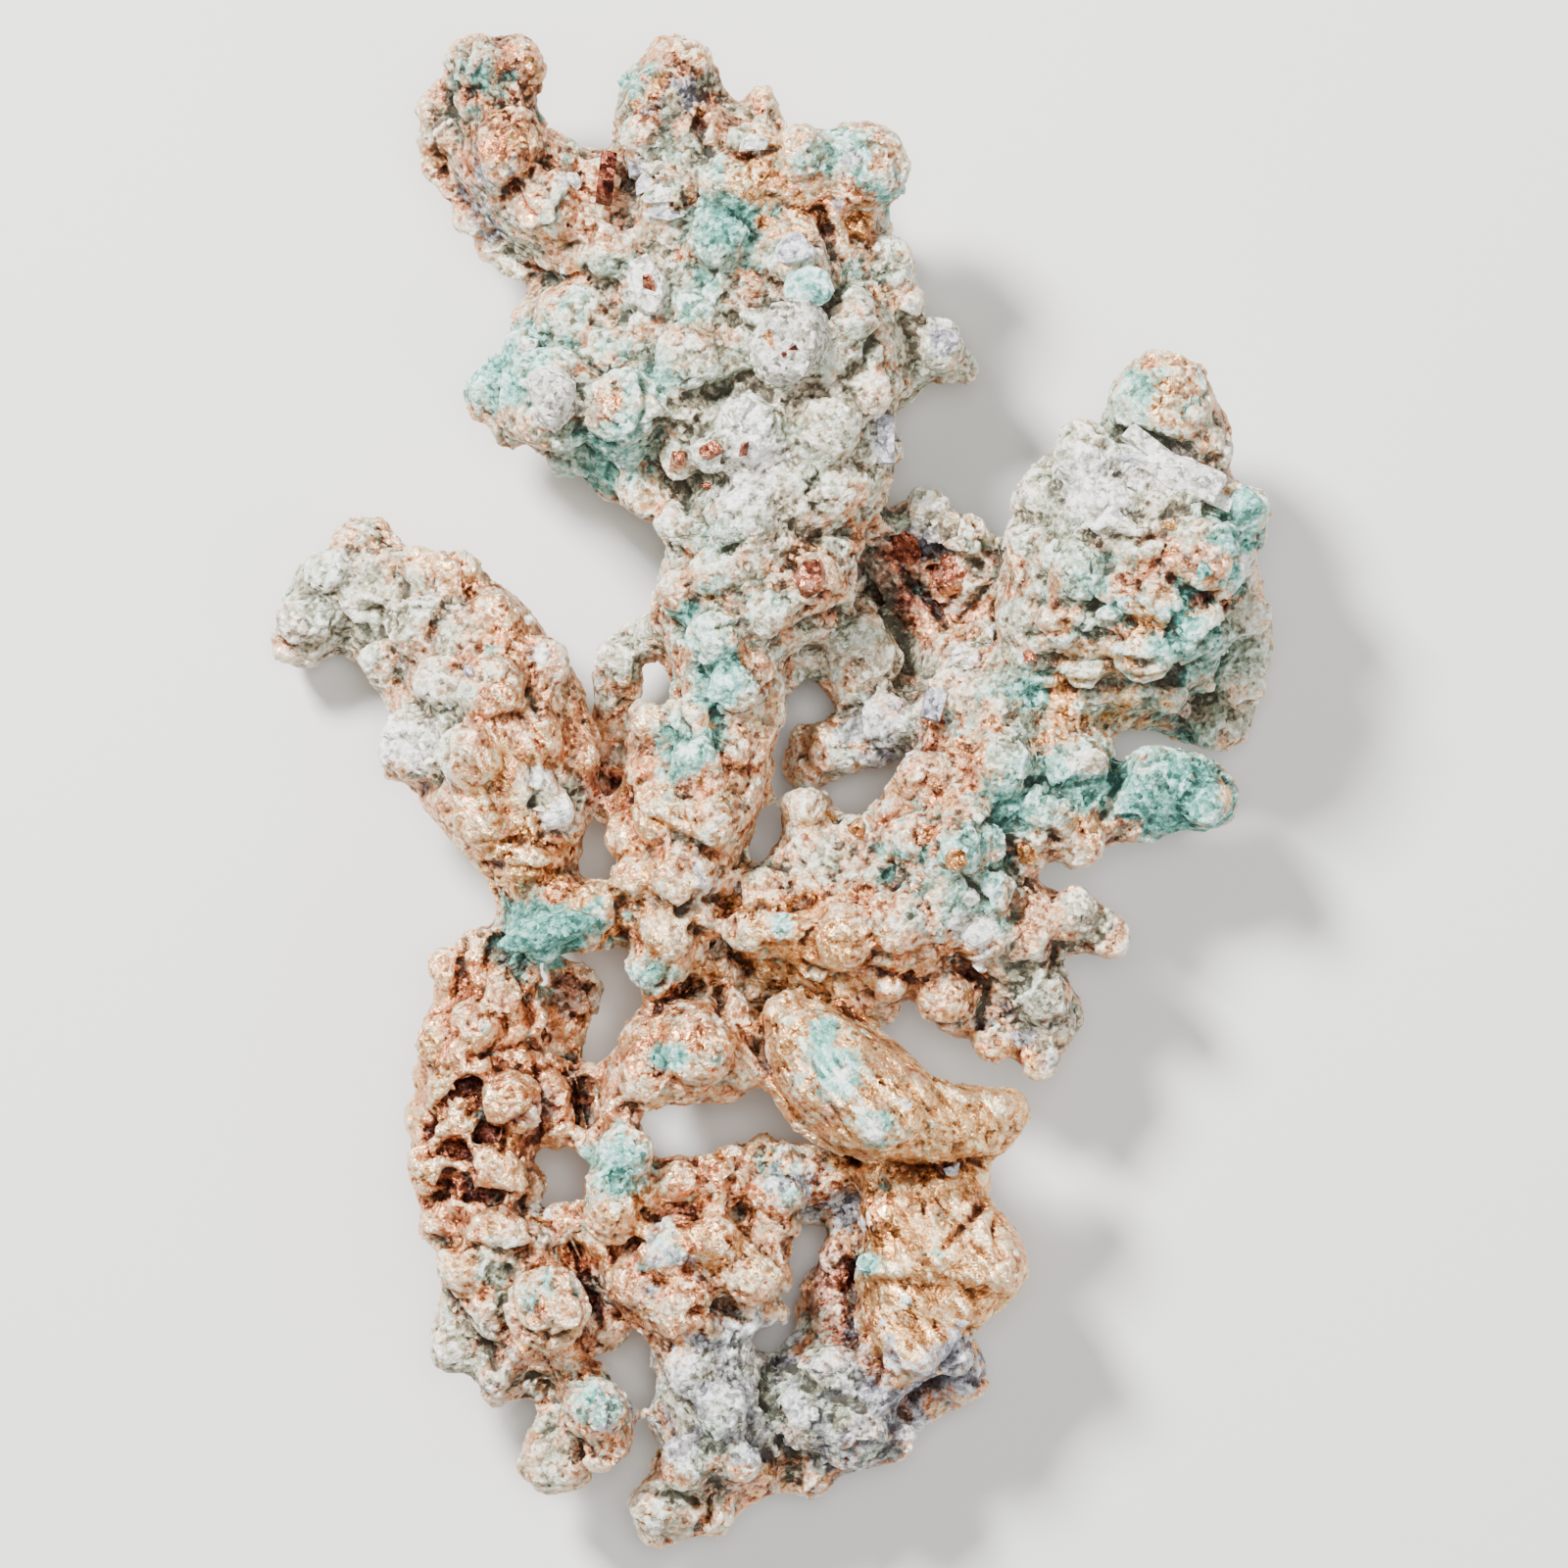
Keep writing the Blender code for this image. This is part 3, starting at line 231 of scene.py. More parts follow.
# %% Patches of crust, stone, patina and bare metal
CRUST = [  # pale calcite grains
    (20, 6, 7, .2), (-3, 12, 7, .2), (30, 15, 8, .12), (-1, 38, 16, .26), (25, 24, 6, .12),
    (-2, 27, 7, .6), (3, 30, 5, .3), (-18, 32, 4, .5), (-10, 41, 3, .3), (2, 37, 4, .4),
    (9, 42, 4, .3), (13, 36, 3, .4), (-22, 46, 3, .3), (-27, 55, 3, .3), (-9, 53, 4, .3),
    (-2, 20, 5, .2), (-36, 16, 5, .6), (-38, 12, 3, .3), (-29, 15, 4, .4), (-28, 4, 3.6, .7),
    (-17.8, -1, 2.4, .8), (-26, 9, 3, .3), (-12, 12, 3, .5), (7, 12, 4, .4), (13, 23, 3, .4),
    (26, 26, 5, .7), (32, 25, 5, .6), (21, 21, 4, .4), (38.4, 12, 3, .6), (22, 14, 4, .3),
    (14, 5, 4, .2), (37, 6, 3, .4), (16, -9, 3, .4), (26, -11, 4, .3), (22, -17, 4, .4),
    (5, -4, 4, .3), (-22, -38, 3, .4), (-26, -45, 3, .4), (-18, -55, 3, .3), (-5, -50, 5, .3),
    (5, -52, 5, .3), (-9, -59, 3, .3), (-22, -49, 3, .3)]
CHALK = [  # the whitest crust
    (-17.8, 31.6, 2.6, .9), (-10.4, 39.6, 1.8, .8), (-11.2, 42, 1.2, .8), (-9.4, 41, 1.0, .7),
    (-2.4, 30.6, 2.4, .9), (-2.4, 24.6, 3, .7), (-.6, 27, 2.2, .7), (-4, 20, 2, .4),
    (25.5, 25.5, 3, .8), (27, 22.6, 2.6, .7), (33.5, 25.4, 3, .6), (30, 27.4, 2.4, .6),
    (-29.6, 3.6, 2.8, .9), (-19, 1.2, 1.2, .8), (-17.3, -2, 1.6, 1.0), (16.6, -11.4, 1.9, .9),
    (14.6, -10.4, 1.2, .6), (16.8, -14.2, .8, .7), (15.6, 10.6, 2.2, .6), (24.6, 2.6, 2.2, .4),
    (20.4, 21.2, 1.6, .5), (38.4, 18, 1.6, .7), (5.6, -22.6, 1.4, .7), (8.2, -27, 1.3, .8),
    (6.6, -25, .9, .6), (3.4, -19.2, 1.2, .4), (10.8, -25.2, .7, .8), (10.8, -41.4, .6, .9),
    (-16.8, 49.6, 1.3, .6), (-10.6, 50.6, 1.6, .7), (-9, 48, 1.2, .6), (4.5, 37, 2, .4),
    (-35, 19, 2.4, .5), (-39.5, 12.5, 2, .4), (-28, 16.5, 2, .4), (-18.8, 11, 1.6, .5),
    (13, 23.6, 1.6, .5), (22.6, -22, 1.3, .6), (24, -17.6, 1.6, .4), (-20.6, 36, 1, .5),
    (-13, 36.6, 1.2, .5), (1.6, 44.2, 1.2, .6), (-1.4, 52.4, 1.4, .5), (8.6, 31.6, 1.4, .5),
    (-19.5, -34, .8, .7)]
STONE = [  # grey clay and stone
    (14, 20, 3, .35), (-24, 50, 3, .4), (-8, 56, 3, .3), (9, 29, 2.5, .7), (2, 37, 4.5, .5),
    (-23, 45, 3, .4), (-9, -38.5, 3, .45), (-37, 14, 4, .4), (-28, 9, 3.5, .4),
    (-13, 12, 3, .5), (9, 5, 4, .8), (12, 23, 2.5, .4), (-6, -7, 3, .3), (21, -18, 4, .5),
    (-5, -50, 6, .8), (-2, -45, 3, .5), (6, -51, 6, .7), (1, -32, 3, .4), (5, -34, 3, .5),
    (15, -47, 4, .6), (-22, -48, 3, .4), (-14, -50, 2.4, .4), (6, 51, 3, .3), (-6, 58, 3, .2),
    (-25, 58, 3, .3)]
PATINA = [  # green and blue copper salts
    (29, 17, 9, .14), (20, 3, 8, .2), (-4, 10, 7, .14), (-12, 33, 10, .08), (-8, 42, 15, .15),
    (36.5, 11.5, 2.4, .6), (37, 20.5, 2, .5), (-9, -37.5, 2.2, .35), (-10, -22, 1.2, .4),
    (-24.5, 58, 2.6, .5), (-11.5, 57.5, 2.2, .5), (6.5, 51, 3, .5), (10, 48, 2, .4),
    (-4.3, 45.6, 2.4, 1.1), (-6, 40, 1.7, .9), (-5.5, 51.5, 2.4, .4), (-22.5, 34, 3, .9),
    (-18, 36, 4, .45), (-9.5, 34.3, 1.8, .7), (-14.5, 26.8, 3, .7), (-11, 29, 3, .3),
    (-4, 21, 2.6, .5), (-7, 14, 2.4, .5), (-4.7, 9, 2.2, .8), (-7, 3.5, 2.8, .7),
    (-1, 15, 3, .3), (-19, -11.5, 3.2, 1.0), (-14, -10.5, 1.6, .6), (-10, -14.5, 1.8, .6),
    (33, 0, 5, .8), (25, 1, 3.4, .45), (20.5, 8.7, 2, .5), (16, -5, 3, .6), (16, -10, 2.6, .7),
    (20, 0, 3, .4), (38, 22.5, 2.4, .8), (37.8, 17, 1.5, .6), (29, 32, 2.4, .5),
    (26, 18, 4, .35), (33, 12, 4, .4), (34, 31, 2.4, .4), (-8.3, -21.5, 1.4, .8),
    (-12.6, -30, 2.8, .8), (-18.5, -40.5, 2.4, .4), (-14.2, -49.6, 2.4, .6),
    (3.6, -19.5, 1.6, .6), (5.6, -22.6, 2.2, .9), (8.2, -27, 1.8, .6), (7.6, -38.4, 1.1, .7),
    (0.8, -10.8, 1.4, .6), (-6, -52, 3, .15), (-8.6, -59.5, 2, .3), (-23, 12, 2.5, .25),
    (6, 42, 2, .3), (10, -6, 3, .35), (1, -31.5, 3, .4), (28, 28, 3, .3)]
BARE = [  # clean copper
    (34.2, 18.6, 3.2, 1.0), (31.5, 14, 2, .6), (22, 15, 2, .4), (14, 5, 3, .4),
    (30, -1.6, 1.4, .5), (35.6, 1.4, 1.2, .5), (31, 13.4, 2.4, .5), (33, 32, 2.6, .5),
    (24, 8, 3, .3), (-21, 52, 4, .6), (-7, 56, 3, .2), (-2, 48.5, 4, 1.0), (2.4, 48.8, 3.4, .9),
    (3, 52, 2.6, .4), (-12.5, 31.5, 2.6, .8), (3.3, 17.2, 2.4, .6), (6.6, 46, 2.2, .5),
    (-11, -3, 4, .7), (-5, 9, 4, .15), (-27, 17.5, 3.4, .6), (-21.5, 12.5, 3, .5),
    (-22, 2, 6, .8), (-20, -5, 4, .7), (-14.6, 4, 2.4, .5), (-16, -10, 4, .5), (-9, -12, 3, .5),
    (12, 1, 3, .6), (7, -3, 3, .4), (3, -12, 5, .7), (10, -14, 3, .3), (34, 19, 2.6, .4),
    (31, 31, 2.4, .3), (33, 1, 2, .2), (-24, -20, 7, .9), (-26, -30, 7, .9), (-20, -26, 5, .6),
    (-18, -42, 3.6, .6), (-13.6, -53.5, 2.2, .6), (-8, -20, 5, .6), (-6, -31, 4, .7),
    (-13, -34, 2.6, .6), (-8, -38.5, 6, .7), (-4, -50.5, 2.2, .6), (4, -20, 5, .7),
    (10, -25, 6, .9), (17, -27, 5, .9), (13, -37, 8, 1.0), (12, -45, 5, .8), (12, 18, 4, .4)]
GOLD = [  # honey-brown tarnish
    (32.2, 13.8, 1.8, .7), (31, 13.4, 2.4, .5), (30, 32, 3, .4), (24, 8, 4, .5),
    (3, -19, 5, .6), (9, -26, 5, .7), (16, -27, 5, .9), (11, -37, 7, .75), (14, -43, 6, .7),
    (-23, 0, 4, .5), (-20, -5, 4, .5), (2, -12, 5, .6), (29, 8, 4, .7), (-1, 48.4, 4, .6),
    (-8, -2, 4, .4), (31, 30, 3, .5), (-11, -10, 5, .5), (33, 1, 3, .3), (-28, 18, 3, .4),
    (-24, -38, 2.4, .6), (24, 8, 3, .5), (-3, -37, 2.6, .5), (-12, -34, 3, .4)]
RED = [  # deep red oxide
    (11.6, 15.4, 1.2, .6), (8.4, 19.8, 1.6, .4), (-26, -24, 6, .2), (-19, -26, 3, .6),
    (-24, -32, 5, .2), (-14, -41, 3, .7), (12, 17.5, 4, .45), (8, 18, 3, .45),
    (-14.5, 0, 2.4, .9), (-13, 4, 2, .5), (-7, 26.8, 1.2, .9), (-4.5, 26.5, 1.6, .9),
    (-5, 23.8, 1.2, .7), (4, -39, 3, .8), (5, -44, 3, .6), (33.5, 7, 2.6, .8),
    (34.2, 18.2, 2.6, .45), (31.4, 12.4, 1, .6), (36, 4, 2, .4), (7, -3, 2, .5),
    (-16, -17, 3, .7), (-4, -50.5, 1.8, .6), (3.3, 17.2, 1.8, .5), (12, -16, 3, .3),
    (1, 2, 2, .5), (20.8, 11, 1, .8)]

DIM = [  # darker patches: partly painted shade, partly darker tone
    (-22.5, 54, 6, 1.0), (-23, 59.5, 4, .7), (-7, 56.5, 5, 1.0), (11, 17.5, 5, .7),
    (33, 0, 5, .65), (-19, -11.5, 4, 1.0), (30, 17, 8, .3), (34, 6.5, 3, .5), (-4.5, 46, 3, .6),
    (6, -51, 5, .65), (5, 41, 6, .2), (17, 0, 5, .25), (23, -16, 6, .8), (16, -48, 4, .55),
    (8, -53, 5, .4), (-6, -54, 6, .5), (-18, -53, 6, .6), (10, 5, 4, .3), (36, 6, 4, .3),
    (-24, -46, 4, .4), (6, -35, 4, .7), (-13.5, 9, 3, .4)]
print("patches:", sum(map(len, (CRUST, CHALK, STONE, PATINA, BARE, GOLD, RED, DIM))))

# %% [markdown]
# ## Lobes and knobs
# The top of each limb is a row of round lobes with creases between them, and each lobe
# has its own place.  Knobs on the sides and the underside, and the grit of the crust, are
# scattered over the skin with a fixed seed.  Smooth parts of the metal get fewer of them.

# %% Where the skin is smooth
SMOOTH_METAL = [  # x, y, radius in millimetres, how smooth
    (3, -21, 6, 1.0), (9, -25, 6, 1.0), (16, -27, 6, 1.0), (13, -36, 8, 0.9), (12, -43, 6, 0.9),
    (-22, 1, 7, 0.85), (-8, -21, 5, 0.55), (-9, -38, 5, 0.6), (2, -12, 4, 0.4),
    (-19, -11, 3, 0.5), (-22, 53, 4, 0.4), (0, 50, 4, 0.4), (1.8, 36.2, 4.4, 0.5),
    (33, 0, 4, 0.5), (-8, -5, 6, 0.3), (-25, -22, 6, 0.3), (34.4, 18.8, 3, 0.5),
    (31.5, 31, 3, 0.4)]

# %% Places of the lobes
LOBES = [  # x, y, radius in millimetres
    (7, 50.8, 3.3), (2.2, 52, 1.9), (-1.8, 52.3, 1.7), (-3.2, 49.2, 2.6), (1.7, 44, 2.2),
    (2.9, 40.9, 1.6), (6.4, 38.6, 1.6), (9.2, 43, 2), (10.6, 40.1, 1.3), (-6.8, 34.8, 2.4),
    (-18, 32, 3.3), (-20.2, 36.3, 1.4), (-12.2, 31.2, 2.8), (-10.5, 41.3, 1.8),
    (-16.5, 38.8, 2.4), (-12.8, 36.2, 2.2), (-4.5, 45, 2.1), (-6, 39, 1.7), (-7.6, 27, 1.4),
    (-4.8, 27.8, 1.6), (-7.2, 30.2, 1.8), (-1.8, 29.5, 2.3), (4.5, 29.5, 2.5), (7.3, 32.5, 2),
    (5, 24.5, 2.2), (-10.8, 24.7, 1.7), (-21.5, 52.5, 2.5), (-24.3, 59.3, 2.2),
    (-20.8, 59.6, 1.6), (-18.5, 47.5, 2.1), (-9, 56.5, 2.4), (-6.4, 53.5, 2),
    (-10.8, 53.3, 1.6), (13.5, 36.6, 1.8), (-14, 50.2, 1.4), (-13.5, 44.5, 2), (-9, 47.5, 1.8),
    (4.2, 46.8, 1.5), (-7, 59.6, 1.9), (-27.8, 55.5, 1.3), (-24.5, 47.2, 1.6),
    (-20.5, 43.5, 1.7), (-2.5, 57, 1.2), (3.3, 17.3, 1.9), (-7.6, 21.8, 1.6), (-2.5, 22, 2.2),
    (-7.8, 16.4, 1.6), (-4.9, 17.9, 1.7), (-0.5, 14.4, 1.9), (-4.8, 12.5, 1.8), (-3, 8.5, 1.8),
    (-6.5, 6.2, 1.7), (-10.4, 5.6, 1.3), (-6, 2.8, 1.8), (-9.2, -1.5, 2), (-12, -3.6, 1.6),
    (-5.2, -2.4, 1.8), (-7.4, -6.6, 2.1), (-11.2, -6.8, 1.6), (-8.6, -11.5, 1.9),
    (-10.2, -14.2, 1.6), (-6.2, -9.8, 1.3), (-18.8, -11.9, 1.7), (-14.4, -9, 1.6),
    (-15.5, -11.6, 1.3), (-13, 11, 1.4), (-12, 8.5, 1.2), (-34.5, 20.5, 1.6), (-38.3, 14.5, 2),
    (-36.5, 18, 1.8), (-29, 18.3, 1.6), (-25.8, 18, 1.7), (-29, 13.6, 2.2), (-31.8, 10.6, 1.7),
    (-26.6, 9, 2.1), (-22.8, 14.4, 1.6), (-22.8, 8.2, 2.3), (-18.8, 10.6, 1.7),
    (-29.4, 3.6, 2.5), (-24.5, 3, 2.3), (-19.2, 4.3, 2), (-17.8, -1.5, 1.5), (-16, 3, 1.4),
    (-23.5, -2, 2.2), (-20.2, -5.5, 1.7), (-33.5, 15.5, 1.5), (-40, 12, 1.2), (18.5, 2.2, 2.2),
    (14.6, 7.8, 1.9), (24.8, 2.2, 2.2), (21.8, -2, 2.3), (25, -4, 1.7), (31.5, 1.2, 2.3),
    (35.2, -0.8, 1.8), (14.8, -4.9, 1.7), (17.5, -8, 1.9), (16.8, -11.2, 2.2), (12.5, 1.2, 2),
    (11.2, -4, 2), (7.5, -6.5, 1.8), (6.8, -3.2, 1.2), (2.6, -1.3, 1.4), (-0.6, -7.6, 1.5),
    (0.8, -10.8, 1.2), (-2.2, -11.2, 1.5), (5.8, -11.8, 2.1), (10, -10.5, 2), (9.5, -15.2, 1.6),
    (13.8, -16.8, 1.9), (20.8, -12, 2.1), (24.5, -9.8, 1.7), (27.6, -11.8, 1.5), (22, -16.5, 2),
    (18.2, -20.3, 1.6), (21.8, -21.8, 1.5), (20.5, -5.3, 1.6), (12.4, 23.2, 1.5),
    (15.6, 20.6, 1.7), (9, 21.5, 1.5), (6.8, 12.8, 1.9), (8.8, 10.6, 1.6), (9.3, 5.8, 1.8),
    (12.8, 6.2, 1.4), (4.2, 3.5, 1.5), (2.5, -5, 1.3), (4.5, -8.8, 1.3), (28, 0.2, 1.6),
    (31.5, 31.6, 3.4), (22.2, 24.4, 1.9), (25.2, 27.6, 2), (26.5, 22.8, 2.4), (34.4, 18.8, 3),
    (38.2, 22.9, 1.9), (29.8, 20.2, 1.8), (24.5, 18, 2.3), (20.5, 19.6, 1.7), (28.2, 15.8, 2.2),
    (23.6, 14.4, 2), (31.2, 15.6, 1.8), (33.8, 13.2, 2.1), (30, 11.4, 2.1), (25.2, 10.5, 1.8),
    (38.6, 14.4, 1.6), (38.2, 8.6, 1.7), (36.3, 5.2, 1.8), (32, 8, 1.5), (35.5, 28, 1.7),
    (-26.3, -14.4, 1.6), (-24, -13, 1.5), (-22, -16.2, 1.9), (-27.4, -20, 1.8),
    (-24.2, -18.8, 1.7), (-24.8, -21.8, 1.7), (-20, -18.6, 1.3), (-21.6, -25.3, 2.2),
    (-26.6, -24.5, 1.7), (-26.2, -27.4, 1.5), (-23.3, -30.6, 1.9), (-28, -30.5, 1.6),
    (-21.4, -31.8, 1.4), (-25, -33.5, 1.5), (-27.6, -35.2, 1.2), (-22.5, -36.2, 2.1),
    (-25.2, -38.8, 1.9), (-19.8, -37, 1.5), (-18.3, -42, 2.8), (-23.2, -42.4, 1.8),
    (-26.2, -45.2, 1.4), (-22.8, -47.6, 1.4), (-14.4, -50.4, 2.4), (-13.8, -53.4, 1.6),
    (-18, -54.8, 2.2), (-16.8, -18.8, 1.6), (-18.6, -23.5, 1.3), (-17.5, -27, 1.3),
    (-6, -20.8, 2.5), (-10.5, -23.4, 2.1), (-2.6, -22.6, 1.5), (-12.3, -25.8, 1.5),
    (-12, -29.5, 1.8), (-14, -31.8, 1.5), (-13.2, -34.3, 2), (-7.4, -31.4, 1.6),
    (-4.2, -31.9, 1.5), (0.2, -33, 1.7), (-9, -37.2, 2), (-5, -36.4, 1.8), (-1.8, -39.6, 1.9),
    (-11.5, -40, 1.9), (-7.5, -42, 2.3), (-2.6, -43, 1.4), (-4.2, -50.6, 1.9), (-7, -47.2, 2),
    (-2.8, -54.4, 1.8), (-7.2, -54.8, 1.9), (-9.4, -58.6, 1.9), (-5, -59, 1.4), (3, -51, 2.4),
    (7, -52, 2.2), (5, -47.5, 1.8), (10, -53, 1.6), (15.5, -48, 1.8), (3.5, -56, 1.5),
    (6, -43, 1.4), (5, -38, 1.3)]
BRIDGES = [  # x, y, z, radius in millimetres, where limbs run on below the gaps
    (-1.5, -16.6, 8, 1.7), (-4.7, -12.6, 8, 1.1), (-17.9, -14.6, 7, 1.1),
    (-17.5, -20.4, 7, 1.6), (-3.1, -34.2, 8, 1.3), (3.3, -34.4, 7, 1.3), (6.1, -34.6, 7, 1.6),
    (5.6, -30.8, 7, 1.6), (7.1, 19.8, 6, 1.3), (6.9, 16, 6, 1.3), (-0.5, -18.8, 8, 1.2)]
LOBE_RISE = 0.44  # how much of its radius a lobe stands out
LOBE_WIDTH = 1.25
LOBE_HEIGHT = 0.85
MELTING = 3  # rounds of smoothing that melt the lobes into one another
print("lobes:", len(LOBES), "bridges:", len(BRIDGES))

# %% Helpers that set shapes on a skin
BLOCK_SIZE = 1.5  # against a ball with a radius of 1
WORN_EDGE = 0.22
ABOVE = 0.05  # metres; every ray starts here, well above the skin


def top_of_skin(tree, x, y):
    """The point of a skin that is seen from above at a place in millimetres."""
    return tree.ray_cast(Vector((x * MM, y * MM, ABOVE)), Vector((0, 0, -1)))[0]


def patch_amount(points, patches, base=0.0):
    """How much of a list of round patches reaches each point, seen from above."""
    amount = np.full(len(points), base)
    for x, y, radius, strength in patches:
        away = ((points[:, 0] / MM - x) ** 2 + (points[:, 1] / MM - y) ** 2) / radius ** 2
        amount += strength * np.exp(-away)
    return np.clip(amount, 0, 1)


def scattered_points(mesh, count, seed):
    """Evenly scattered points of a skin, with the direction that the skin faces there."""
    mesh.calc_loop_triangles()
    places = place_rows(mesh)
    corners = np.array([tri.vertices for tri in mesh.loop_triangles])
    a, b, c = (places[corners[:, i]] for i in range(3))
    across = np.cross(b - a, c - a)
    area = np.linalg.norm(across, axis=1)
    dice = np.random.default_rng(seed)
    chosen = dice.choice(len(area), size=count, p=area / area.sum())
    u, v = dice.random(count), dice.random(count)
    over = u + v > 1
    u[over], v[over] = 1 - u[over], 1 - v[over]
    spots = a[chosen] + (b - a)[chosen] * u[:, None] + (c - a)[chosen] * v[:, None]
    return spots, across[chosen] / area[chosen][:, None], dice


def shape_of(bm):
    """The corners and the triangles of a small mesh, as two arrays."""
    corners = np.array([vert.co for vert in bm.verts])
    faces = np.array([[vert.index for vert in face.verts] for face in bm.faces])
    bm.free()
    return corners, faces


def ball_shape(detail):
    bm = bmesh.new()
    bmesh.ops.create_icosphere(bm, subdivisions=detail, radius=1.0)
    return shape_of(bm)


def block_shape():
    """A grain of calcite: a block with worn edges."""
    bm = bmesh.new()
    bmesh.ops.create_cube(bm, size=BLOCK_SIZE)
    bmesh.ops.bevel(bm, geom=bm.edges, offset=WORN_EDGE, segments=1, affect="EDGES")
    bmesh.ops.triangulate(bm, faces=bm.faces)
    return shape_of(bm)


def copies(shape, places, sizes, turns):
    """One mesh with a copy of a shape at each place."""
    corners, faces = shape
    spread = np.einsum("nij,kj->nki", turns * sizes[:, None, :], corners) + places[:, None]
    index = faces[None] + len(corners) * np.arange(len(places))[:, None, None]
    mesh = bpy.data.meshes.new("copies")
    mesh.from_pydata(spread.reshape(-1, 3), [], index.reshape(-1, 3).tolist())
    return mesh


def random_turns(dice, count):
    """Random rotations, from random unit quaternions."""
    w, x, y, z = dice.normal(size=(4, count))
    length = np.sqrt(w * w + x * x + y * y + z * z)
    w, x, y, z = w / length, x / length, y / length, z / length
    rows = [[1 - 2 * (y * y + z * z), 2 * (x * y - z * w), 2 * (x * z + y * w)],
            [2 * (x * y + z * w), 1 - 2 * (x * x + z * z), 2 * (y * z - x * w)],
            [2 * (x * z - y * w), 2 * (y * z + x * w), 1 - 2 * (x * x + y * y)]]
    return np.moveaxis(np.array(rows), 2, 0)

# %% Set the lobes and scatter the knobs
SMOOTH_CLEARS = 0.95  # the share of the knobs that smooth metal loses
GRIT_EVERYWHERE = 0.1
TOP_FACING = 0.35  # skin that faces up more than this is the top
FEW_LARGE = 1.8  # the higher it is, the fewer knobs are large
SINK_SPREAD = 0.3
LOBE_SEED = 10
UNDER_KNOBS = {"count": 1100, "seed": 11, "smallest": 1.1, "largest": 2.5, "sink": 0.50,
               "flat": 0.65, "top": False}
ROUND_GRIT = {"count": 1500, "seed": 12, "smallest": 0.3, "largest": 0.8, "sink": 0.40,
              "flat": 0.6, "grit": True}
BLOCKY_GRIT = {"count": 3600, "seed": 13, "smallest": 0.25, "largest": 0.55, "sink": 0.15,
               "flat": 0.45, "grit": True}


def lobes(skin, dice):
    """Lobes on the top of a skin, each at its own place, and the bridges."""
    tree = BVHTree.FromPolygons(place_rows(skin).tolist(), [p.vertices for p in skin.polygons])
    balls = list(BRIDGES)
    for x, y, radius in LOBES:
        hit = top_of_skin(tree, x, y)
        if hit:
            balls.append((x, y, hit.z / MM - radius * (LOBE_HEIGHT - LOBE_RISE), radius))
    balls = np.array(balls) * MM
    shapes = (LOBE_WIDTH, LOBE_WIDTH, LOBE_HEIGHT) * dice.uniform(0.85, 1.1, (len(balls), 3))
    upright = np.broadcast_to(np.eye(3), (len(balls), 3, 3))
    return copies(ball_shape(3), balls[:, :3], balls[:, 3:] * shapes, upright)


def knobs(skin, shape, count, seed, smallest, largest, sink, flat, grit=False, top=True):
    """Knobs on a skin: many small ones, few large ones, fewer where the metal is smooth.
    Grit only settles where there is crust or stone."""
    spots, facing, dice = scattered_points(skin, count, seed)
    chance = 1 - SMOOTH_CLEARS * patch_amount(spots, SMOOTH_METAL)
    if grit:
        crusted = patch_amount(spots, CRUST, GRIT_EVERYWHERE) + patch_amount(spots, STONE)
        chance *= np.clip(crusted, 0, 1)
    if not top:
        chance[facing[:, 2] > TOP_FACING] = 0
    keep = dice.random(count) < chance
    spots, facing = spots[keep], facing[keep]
    total = len(spots)
    radius = (smallest + (largest - smallest) * dice.random(total) ** FEW_LARGE) * MM
    sizes = radius[:, None] * dice.uniform(flat, 1.0, (total, 3))
    depth = radius * dice.uniform(sink, sink + SINK_SPREAD, total)
    return copies(shape, spots - facing * depth[:, None], sizes, random_turns(dice, total))


lumps = [core,
         lobes(core, np.random.default_rng(LOBE_SEED)),
         knobs(core, ball_shape(3), **UNDER_KNOBS)]
body = fused(joined(lumps, "lumps"), COARSE_CELL, MELTING)
grit = [body,
        knobs(body, ball_shape(2), **ROUND_GRIT),
        knobs(body, block_shape(), **BLOCKY_GRIT)]
skin = fused(joined(grit, "grit"), CELL, 1)
print("skin:", len(skin.vertices), "vertices")

# %% [markdown]
# ## Furrows
# Between the lobes run furrows, some of them deep enough to look black.  Each is a line
# seen from above, with its width and depth, pressed into the skin that faces up.

